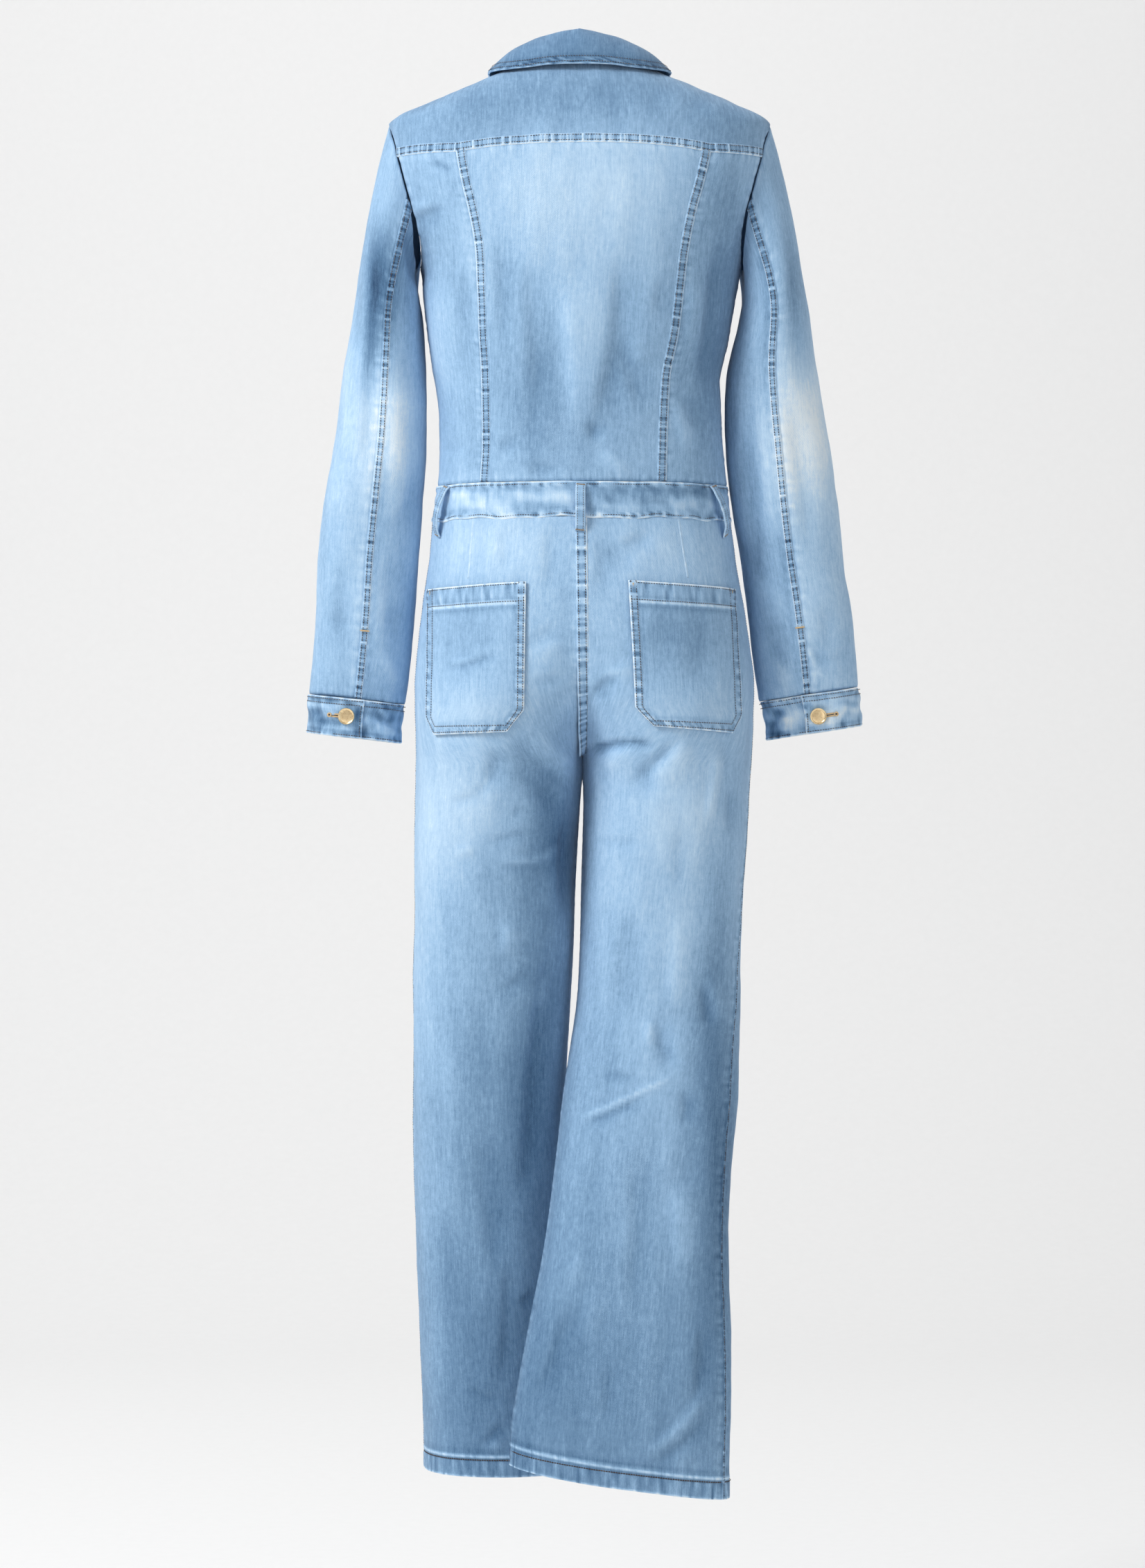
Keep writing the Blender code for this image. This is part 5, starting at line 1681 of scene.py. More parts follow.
@dataclass
class Arm:
    """A set-in sleeve in two pieces and its buttoned cuff."""

    side: Side
    back_seam: float = 90.0
    front_seam: float = -120.0
    stitch_gap: float = 5.2
    tack: tuple[float, float] = (1.815, 1.825)  # heights of the bartack above the sleeve's slit
    cuff_top: float = -639.2
    cuff_bottom: float = -684.0

    def build(self, room: Workroom) -> None:
        """Makes the sleeve and the cuff."""
        name, form, cuff = self.side.value, Sleeve(self.side), Cuff(self.side)
        rows = np.concatenate([0.012 + 0.988 * steps(90.0, 4.2), 1 + steps(380.0, 4.2, (3.0,))[1:]])
        way = self.side.sign
        stitching = Stitching(f"sleeve_stitching_{name}", room)
        path = Path(form, self.back_seam, np.linspace(0.03, 1.997, 60))
        lap = Lap(
            f"sleeve_lap_{name}", path, -1.4 * way, 8.0 * way, rise=0.6, seed=91, worn_edges=(0.2, 1.5),
            dark=0.14, worn=0.36, close=6.0, rows=(1.0 * way, (1.0 + self.stitch_gap) * way),
        ).build(room, stitching)
        tack = Path(form, self.back_seam, np.linspace(*self.tack, 5), 1.0).shifted(3.6 * way, 1.0)
        k = len(tack.along) // 2
        stitching.bar(tack.points[k] + tack.normals[k] * 1.2, tack.normals[k], tack.sideways[k], (9.0, 1.8), 1.2)
        pieces = [lap, stitching.build()]
        for part, start, end in (
            ("top", self.front_seam, self.back_seam), ("under", self.back_seam, self.front_seam + 360.0)
        ):
            width = abs(end - start) / 360 * 290
            turn = start + (end - start) * steps(width, 4.2)
            top = part == "top"
            Panel(
                f"sleeve_cloth_{part}_{name}", f"sleeve_{part}_{name}", form, crossed(turn, rows), SEWN,
                seed=17 + int(start) % 5, shade=0.0 if top else 0.13,
            ).build(room, pieces if top else ())
        self.cuff(room, cuff)

    def cuff(self, room: Workroom, form: Cuff) -> None:
        """The cuff, folded at its lower edge, stitched along both and buttoned at the back."""
        name = self.side.value
        turn = form.start + (form.end - form.start) * steps(270.0, 3.0)
        z = self.cuff_top + (self.cuff_bottom - self.cuff_top) * steps(45.0, 2.6)
        stitching = Stitching(f"cuff_stitching_{name}", room)
        whole = np.linspace(form.start + 2, form.end - 2.5, 120)
        for height in (self.cuff_top - 2.2, self.cuff_top - 7.2, self.cuff_bottom + 2.6):
            stitching.row(Path(form, whole, height), 0.8, 101)
        ends = np.linspace(self.cuff_top - 2.5, self.cuff_bottom + 2.6, 20)
        stitching.row(Path(form, form.end - 2.8, ends), 0.5, 103)
        low, high = (np.array(corner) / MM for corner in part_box(f"cuff_button_{name}"))
        button = (low + high) / 2
        turns = np.linspace(395.0, 455.0, 400)
        near = form.point(turns, button[2])
        centre = turns[np.argmin(np.abs(near[:, 0] - button[0]) + 400.0 * (near[:, 1] < -32.0))]
        level = button[2] + (button[2] - form.point(centre, button[2])[2]) / form.shrink
        stitching.hole(Path(form, centre + np.linspace(4.0, -17.0, 9), level, 0.8), 1.4)
        Panel(
            f"cuff_cloth_{name}", f"cuff_{name}", form, crossed(turn, z), FOLDED, over=0.5, thick=2.0,
            slot="denim_trim", seed=21, held="folded", rubbed=0.12, crumple=1.2, felled=3.2, wash_and_shading=0.03,
        ).build(room, [stitching.build()])


@dataclass
class Band:
    """The waistband and its five belt loops."""

    loop_width: float = 10.0
    loop_thick: float = 1.8
    over: float = 0.7  # how far the band lies over the legs and the bodice
    loops: tuple[str, ...] = ("back", "back_left", "back_right", "front_left", "front_right")

    def build(self, room: Workroom) -> None:
        """Makes the band and the loops."""
        form = Waistband()
        angle = -99 + 378 * steps(830.0, 4.0)
        z = form.top - 0.4 + (form.bottom - form.top - 1.2) * steps(36.0, 2.4)
        stitching = Stitching("waistband_stitching", room)
        whole = np.linspace(-98, 278, 300)
        for height in (form.top - 3.2, form.bottom + 1.3):
            stitching.row(Path(form, whole, height), self.over, 111)
        stitching.row(Path(form, 276.6, np.linspace(form.top - 3, form.bottom + 2, 12)), self.over, 113)
        Panel(
            "waistband_cloth", "waistband", form, crossed(angle, z), FOLDED, thick=2.0, slot="denim_trim", seed=23,
            held="folded", wash_and_shading=0.04, rubbed=0.09, crumple=0.35, over=self.over, felled=5.5,
        ).build(room, [stitching.build()])
        for name in self.loops:
            self.loop(room, name)

    def loop(self, room: Workroom, name: str) -> None:
        """One loop, in the space of its solid: a folded strip, stitched along both edges and tacked."""
        low, high = (np.array(corner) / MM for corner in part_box(f"loop_{name}"))
        vertices = np.array([v.co for v in bpy.data.objects[f"loop_{name}"].data.vertices]) / MM
        rows: list[Array] = []
        for z in np.linspace(high[2] - 0.6, low[2] + 0.6, 30):
            near = vertices[np.abs(vertices[:, 2] - z) < 4.5]
            rows.append(near.mean(axis=0) * [1, 1, 0] + [0, 0, z])
        line = np.array(rows)
        for _ in range(6):
            line[1:-1] = (line[:-2] + 2 * line[1:-1] + line[2:]) / 4
        out = unit(line * [1, 1.6, 0])
        along = unit(np.gradient(line, axis=0))
        across = unit(np.cross(out, along))
        out = unit(np.cross(along, across))
        shares = steps(self.loop_width, 1.6, (0.4, 0.9))
        t = (shares - 0.5)[None, :, None] * self.loop_width
        edge = np.minimum(shares, 1 - shares)[None] * self.loop_width
        wave = puckers(lengths(line, 0), 7, 9.0)[:, None]
        lift = self.loop_thick / 2 - 0.5 * bell(edge, 0.8) + 0.15 * wave * eased(edge / 2)
        outer = line[:, None] + across[:, None] * t + out[:, None] * lift[..., None]
        inner = line[:, None] + across[:, None] * t - out[:, None] * (self.loop_thick / 2)
        wash_and_shading = 0.22 * bell(edge, 0.9) + 0.08 * wave - 0.03 + 0 * lift
        cut = np.stack(np.broadcast_arrays(t[..., 0], lengths(line, 0)[:, None]), axis=-1)
        piece = room.cloth(f"loop_cloth_{name}", outer, inner, wash_and_shading, cut * MM + 3.1, "denim_trim")
        stitching = Stitching(f"loop_stitching_{name}", room)
        for side in (-2.9, 2.9):
            row = line + across * side + out * (self.loop_thick / 2 + 0.1)
            run = lengths(row, 0)
            at = np.arange(1.5, run[-1] - 1.0, 2.4)
            centre, tangent, normal = (
                np.stack([np.interp(at, run, v[:, k]) for k in range(3)], axis=-1) for v in (row, along, out)
            )
            wide = np.cross(normal, tangent) * 0.26
            stitching.points.append(stitch(centre, tangent * 0.9, wide, normal * 0.22))
            stitching.tints.append(np.full((len(at), 10), 0.45))
        for k in (1, -2):
            stitching.bar(line[k] + out[k] * self.loop_thick / 2, out[k], across[k], (self.loop_width - 1.5, 1.5), 0.7)
        threads = stitching.build()
        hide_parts(f"loop_{name}")
        length = float(lengths(line, 0)[-1]) * MM


@dataclass
class Trouser:
    """One leg: front and back panels, hem, pockets and their stitching."""

    side: Side
    dart: tuple[float, float] = (110.0, 113.0)  # x at its ends
    back_pocket: tuple = ()
    front_pocket: tuple = ()
    pocket_over: float = 3.2
    hem: float = 17.5  # from its edge to the stitching
    pocket_hem: float = 19.0  # depth of the pocket's stitched upper hem
    pocket_size: tuple[float, float] = (105.0, 148.0)  # width and depth

    def heights(self, form: Leg, pitch: float = 4.4) -> Array:
        """Levels down the leg, closer together at the crotch and hem."""
        last = form.rings.last
        count = int(round((CROTCH - last - 24.0) / pitch))
        near = (22.4, 21.2, 20.2, 19.2, 18.2, 17.2, 16.2, 15.0, 12.5, 9.5, 6.5, 4.0, 2.4, 1.2, 0.5, 0.0)
        top = np.linspace(-462.8, CROTCH, int(round(247.0 / pitch)))
        return np.concatenate([top, np.linspace(CROTCH, last + 24.0, count)[1:], last + np.array(near)])

    def build(self, room: Workroom) -> None:
        """Makes the leg and what lies on it."""
        name, form = self.side.value, Leg(self.side)
        for part, sense, pitch in (("back", 1.0, 3.6), ("front", -1.0, 4.6)):
            z = self.heights(form, pitch)[:, None]
            turn, inner = form.outseam(z), form.inner_turn(z)
            angle, height = np.broadcast_arrays(turn + (sense * inner - turn) * steps(290.0, pitch)[None], z)
            stitching = self.hem_stitching(room, form, part, sense)
            pieces = [stitching.build()]
            if part == "back" and self.side is Side.LEFT:
                pieces += self.seat_lap(room)
            if part == "back":
                pieces += self.dart_and_outseam(room, form)
            Panel(
                f"leg_cloth_{part}_{name}", f"leg_{part}_{name}", form, (angle, height),
                (Edge.NONE, Edge.NONE, Edge.SEAM, Edge.SEAM), seed=25 if sense > 0 else 27, hem=self.hem, roll=-0.5,
                pinned=True,
            ).build(room, pieces)
        self.pocket(room, form, "back_pocket", self.back_pocket, 1.0)
        self.pocket(room, form, "front_pocket", self.front_pocket, -1.0)

    def hem_stitching(self, room: Workroom, form: Leg, part: str, sense: float) -> Stitching:
        """The row along the hem of one panel."""
        z = form.rings.last + self.hem
        start = float(form.outseam(np.array(z)))
        turn = np.linspace(start, sense * 180.0, 90)[2:-2]
        stitching = Stitching(f"hem_stitching_{part}_{self.side.value}", room, 2.5, 2.35, 1.2)
        return stitching.row(Path(form, turn, z), 0.55, 121, -0.1)

    def dart_and_outseam(self, room: Workroom, form: Leg) -> list[bpy.types.Object]:
        """The dart from the waistband to the pocket, and the ridge along the outseam."""
        name = self.side.value
        x, z = np.linspace(*self.dart, 14), np.linspace(-463.0, -524.0, 14)
        dart = Lap(
            f"dart_{name}", Path(form, form.seat_turn(x, z), z), -1.0, 1.0, rise=0.28, pucker=0.12, worn=0.2,
            dark=-0.04, patchy=0.05, seed=161,
        )
        down = np.linspace(-466.0, form.rings.last + 1.0, 160)
        path = Path(form, form.outseam(down), down)
        stitching = Stitching(f"outseam_stitching_{name}", room)
        way = self.side.sign
        seam = Lap(
            f"outseam_{name}", path, 0.4 * way, -5.5 * way, rise=0.45, worn=0.3, patchy=0.14, seed=171,
            rows=(-2.0 * way,), pitch=2.2, close=7.0,
        )
        return [dart.build(room), seam.build(room, stitching), stitching.build()]

    def seat_lap(self, room: Workroom) -> list[bpy.types.Object]:
        """The felled seam down the middle of the seat."""
        z = np.linspace(-463.5, -701.0, 70)
        path = Path(SeatStrip(), 0.0, z)
        stitching = Stitching("seat_stitching", room)
        lap = Lap(
            "seat_lap", path, -4.2, 7.4, over=0.5, rise=0.6, seed=131, worn_edges=(0.5, 1.7), patchy=0.26,
            dark=0.04, rows=(-2.2, 5.0), close=7.5,
        )
        return [lap.build(room, stitching), stitching.build()]

    def pocket_grid(self, form: Leg, corners: tuple, sense: float, u: Array, v: Array) -> Places:
        """Places over a pocket's outline, by shares across it and down it."""
        c = np.array(corners, float)
        inner, outer = c[[0, 5, 4]], c[[1, 2, 3]]
        a, b = np.interp(v, (0, 0.84, 1), (0, 1, 2)), np.interp(v, (0, 0.90, 1), (0, 1, 2))
        start = np.stack([np.interp(a, (0, 1, 2), inner[:, k]) for k in (0, 1)], axis=-1)
        end = np.stack([np.interp(b, (0, 1, 2), outer[:, k]) for k in (0, 1)], axis=-1)
        grid = start[:, None] + (end - start)[:, None] * np.asarray(u)[None, :, None]
        return sense * form.seat_turn(grid[..., 0], grid[..., 1]), grid[..., 1]

    def pocket(self, room: Workroom, form: Leg, kind: str, corners: tuple, sense: float) -> None:
        """A patch pocket with its stitched hem, two rows round its edge and tacked corners."""
        side = self.side.value
        wide, deep = self.pocket_size
        places = self.pocket_grid(form, corners, sense, steps(wide, 2.4), steps(deep, 2.4))
        stitching = Stitching(f"{kind}_stitching_{side}", room)
        for inset in (2.0, 7.2):
            x, y = inset / wide, inset / deep
            u = np.concatenate([np.full(40, x), np.linspace(x, 1 - x, 30)[1:-1], np.full(40, 1 - x)])
            v = np.concatenate([np.linspace(0.006, 1 - y, 40), np.full(28, 1 - y), np.linspace(1 - y, 0.006, 40)])
            row = [self.pocket_grid(form, corners, sense, np.array([p]), np.array([q])) for p, q in zip(u, v)]
            a, b = (np.array([place[k][0, 0] for place in row]) for k in (0, 1))
            stitching.row(Path(form, a, b), self.pocket_over + 0.75, 141)
        for u in (0.04, 0.96):
            a, b = self.pocket_grid(form, corners, sense, np.array([u]), np.array([0.045]))
            centre, normal = form.point(a, b)[0, 0], form.normal(a, b)[0, 0]
            top = centre + normal * (self.pocket_over + 0.5)
            stitching.bar(top, normal, np.array([0.0, 0.0, 1.0]), (8.0, 1.5), 1.1)
        for v in (0.014, self.pocket_hem / deep):
            a, b = self.pocket_grid(form, corners, sense, np.linspace(0.02, 0.98, 30), np.array([v]))
            stitching.row(Path(form, a[0], b[0]), self.pocket_over + 0.75, 143)
        Panel(
            f"{kind}_cloth_{side}", f"{kind}_{side}", form, places, FOLDED, over=self.pocket_over, seed=29, swell=0.5,
            held="laid", hem=self.pocket_hem - 1.5, hem_at=0, felled=8.2,
        ).build(room, [stitching.build()])


@dataclass
class Fly:
    """The fly's shaped strip on the wearer's right."""

    width: float = 36.0
    length: float = 165.0
    over: float = 2.8

    def build(self, room: Workroom) -> None:
        """Makes the strip and its curved stitching."""
        form = Leg(Side.RIGHT)
        r = steps(self.length, 4.0)
        z = BAND_BOTTOM - 1.0 - self.length * r
        width = self.width * np.sqrt(np.maximum(0.0, 1 - np.maximum(0.0, (r - 0.72) / 0.30) ** 2))
        u = steps(self.width, 4.0)
        x = -4.0 - width[:, None] * u[None]
        turn = -form.seat_turn(x, np.broadcast_to(z[:, None], x.shape))
        stitching = Stitching("fly_stitching", room)
        for inset in (2.0, 7.5):
            line = -4.0 - np.maximum(width - inset, 1.0)
            stitching.row(Path(form, -form.seat_turn(line, z), z), self.over, 151)
        Panel(
            "fly_cloth", "fly", form, (turn, np.broadcast_to(z[:, None], x.shape)), FOLDED, over=self.over, seed=35,
            held="laid",
        ).build(room, [stitching.build()])


@dataclass
class Collar:
    """The shirt collar: a stand, and a fall that turns down over it."""

    def build(self, room: Workroom) -> None:
        """Makes both and the rows along the leaf edge."""
        stand, fall = CollarStand(), CollarFall()
        Panel(
            "collar_stand_cloth", "collar_stand", stand, crossed(4 + 352 * steps(330.0, 3.4), steps(32.0, 3.0)),
            (Edge.SEAM, Edge.NONE, Edge.FOLD, Edge.FOLD), thick=2.0, slot="denim_trim", seed=41, held="folded",
            wash_and_shading=-0.18,
        ).build(room)
        stitching = Stitching("collar_stitching", room, 2.7, 2.05, 0.72)
        whole = np.linspace(4.2, 355.8, 200)
        for inset in (0.950, 0.842):
            stitching.row(Path(fall, whole, inset), 0.45, 161, 0.12)
        for end in (4.0, 356.0):
            stitching.row(Path(fall, end, np.linspace(0.1, 0.95, 20)), 0.1, 162, 0.2)
        Panel(
            "collar_fall_cloth", "collar_fall", fall, crossed(3 + 354 * steps(400.0, 3.2), steps(55.0, 2.4)),
            (Edge.NONE, Edge.FOLD, Edge.FOLD, Edge.FOLD), thick=2.0, seed=43, held="folded", wash_and_shading=-0.27, felled=7.4,
            hem_at=0,
        ).build(room, [stitching.build()])


@dataclass
class Buttons:
    """The gold buttons: a flared rim, a ring and a plain dished face on a short foot."""

    radius: float = 8.5
    faces: int = 40
    profile: tuple = (  # how much each ring is scaled from the last, and how far it rises
        (1.70, 0.35), (1.07, 0.75), (1.0, 0.55), (0.955, 0.40), (0.93, -0.10), (0.90, -0.45), (0.96, -0.25),
        (0.93, 0.12), (0.80, 0.22), (0.55, 0.14), (0.3, 0.05),
    )

    def build(self, room: Workroom, nodes: Iterable[str]) -> None:
        """Models one button and lays a copy over each of the solids'."""
        pattern = self.pattern(room.metal)
        for node in sorted(n for n in nodes if "button" in n):
            vertices = np.array([v.co for v in bpy.data.objects[node].data.vertices]) / MM
            centre = vertices.mean(axis=0)
            axis = np.linalg.svd(vertices - centre)[2][2]  # across its flat side
            out = axis if centre @ (axis * [1, 1, 0]) > 0 or abs(centre @ axis) < 1e-6 else -axis
            heights = (vertices - centre) @ out
            base = centre + out * heights.min()
            turn = Vector(out).to_track_quat("Z", "Y").to_matrix()
            mesh = pattern.data.copy()
            mesh.transform(Matrix.Translation(Vector(base * MM)) @ turn.to_4x4())
            button = bpy.data.objects.new(f"gold_{node}", mesh)
            bpy.context.scene.collection.objects.link(button)
            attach(button, "root")
            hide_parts(node)
        bpy.data.objects.remove(pattern, do_unlink=True)
        LOG.info("buttons: modelled once, laid on every button node")

    def pattern(self, metal: bpy.types.Material) -> bpy.types.Object:
        """One button at the origin, its back on the plane z = 0."""
        r = self.radius * MM
        deselect()
        bpy.ops.mesh.primitive_cylinder_add(
            vertices=self.faces, radius=0.55 * r, depth=1.2 * MM, location=(0, 0, 0.6 * MM)
        )
        button = bpy.context.object
        bpy.ops.object.mode_set(mode="EDIT")
        self.select_top(button)
        for scale, lift in self.profile:
            bpy.ops.mesh.extrude_region_move()
            bpy.ops.transform.resize(value=(scale, scale, 1.0))
            bpy.ops.transform.translate(value=(0, 0, lift * MM))
        bpy.ops.mesh.inset(thickness=0.02 * r)
        bpy.ops.mesh.select_all(action="SELECT")
        bpy.ops.mesh.normals_make_consistent(inside=False)
        bpy.ops.object.mode_set(mode="OBJECT")
        bpy.ops.object.shade_smooth_by_angle(angle=math.radians(50))
        bpy.ops.object.transform_apply(location=True, rotation=True, scale=True)
        button.data.materials.append(metal)
        return button

    @staticmethod
    def select_top(obj: bpy.types.Object) -> None:
        """Selects only the upper flat face, in edit mode."""
        bpy.ops.mesh.select_all(action="DESELECT")
        bpy.ops.object.mode_set(mode="OBJECT")
        for face in obj.data.polygons:
            face.select = face.normal.z > 0.9 and len(face.vertices) > 4
        bpy.ops.object.mode_set(mode="EDIT")


def deselect() -> None:
    """Leaves nothing selected."""
    if bpy.context.mode != "OBJECT":
        bpy.ops.object.mode_set(mode="OBJECT")
    bpy.ops.object.select_all(action="DESELECT")


@dataclass
class Studio:
    """A pale seamless backdrop, soft lights and the camera."""

    distance: float = 4.2
    centre: tuple[float, float] = (0.00708, -0.7303)  # x and z that the camera looks at
    seen_height: float = 1.602  # at the garment's middle
    backdrop: Triple = (0.87, 0.87, 0.87)

    def build(self) -> None:
        """Sets up the backdrop, the lights and the camera."""
        self.sweep()
        self.light("key", (3.2, 2.4, 2.3), (0.0, 0.0, -0.7), 1.8, 185.0)
        self.light("fill", (-2.6, 3.6, -0.2), (0.0, 0.0, -0.8), 2.6, 16.0)
        self.light("top", (0.4, -1.4, 3.0), (0.0, -4.0, -0.3), 2.2, 60.0)
        world = bpy.data.worlds.new("soft studio")
        world.use_nodes = True
        world.node_tree.nodes["Background"].inputs["Color"].default_value = (1.0, 1.0, 1.0, 1.0)
        world.node_tree.nodes["Background"].inputs["Strength"].default_value = 0.52
        bpy.context.scene.world = world
        bpy.context.scene.view_settings.view_transform = "Standard"
        camera = bpy.data.cameras.new("camera")
        camera.sensor_fit, camera.sensor_height = "VERTICAL", 24.0
        camera.lens = 12.0 / (self.seen_height / 2 / self.distance)
        obj = bpy.data.objects.new("camera", camera)
        obj.location = (self.centre[0], self.distance, self.centre[1])
        obj.rotation_euler = (math.radians(90), 0.0, math.radians(180))
        bpy.context.scene.collection.objects.link(obj)
        bpy.context.scene.camera = obj

    def light(self, name: str, place: Triple, target: Triple, size: float, power: float) -> None:
        """A square soft light that looks at a point."""
        lamp = bpy.data.lights.new(name, "AREA")
        lamp.size, lamp.energy = size, power
        obj = bpy.data.objects.new(name, lamp)
        obj.location = place
        obj.rotation_euler = (Vector(target) - Vector(place)).to_track_quat("-Z", "Y").to_euler()
        bpy.context.scene.collection.objects.link(obj)

    def sweep(self) -> None:
        """The floor, which curves up behind the garment into a plain wall."""
        deselect()
        bpy.ops.mesh.primitive_plane_add(size=14.0, location=(0.0, 1.5, -1.75))
        floor = bpy.context.object
        bpy.ops.object.mode_set(mode="EDIT")
        bpy.ops.mesh.select_all(action="DESELECT")
        bpy.ops.mesh.select_mode(type="EDGE")
        bpy.ops.object.mode_set(mode="OBJECT")
        for edge in floor.data.edges:
            edge.select = all(floor.data.vertices[k].co.y < -6.9 for k in edge.vertices)
        bpy.ops.object.mode_set(mode="EDIT")
        bpy.ops.mesh.extrude_region_move(TRANSFORM_OT_translate={"value": (0, 0, 9.0)})
        bpy.ops.object.mode_set(mode="OBJECT")
        bpy.ops.object.transform_apply(location=True, rotation=True, scale=True)
        bevel = floor.modifiers.new("sweep", "BEVEL")
        bevel.width, bevel.segments, bevel.limit_method = 2.4, 24, "ANGLE"
        bpy.ops.object.modifier_apply(modifier="sweep")
        bpy.ops.object.shade_smooth_by_angle(angle=math.radians(60))
        floor.name = "backdrop"
        made = Nodes("pale paper")
        grain = made.noise(made.add("TexCoord").outputs["Object"], (60.0, 60.0, 60.0), 3.0)
        low, high = tuple(c * 0.985 for c in self.backdrop), self.backdrop
        made.paint(Base_Color=made.ramp(grain, ((0.3, low), (0.7, high))), Roughness=0.95, Specular_IOR_Level=0.1)
        floor.data.materials.append(made.material)
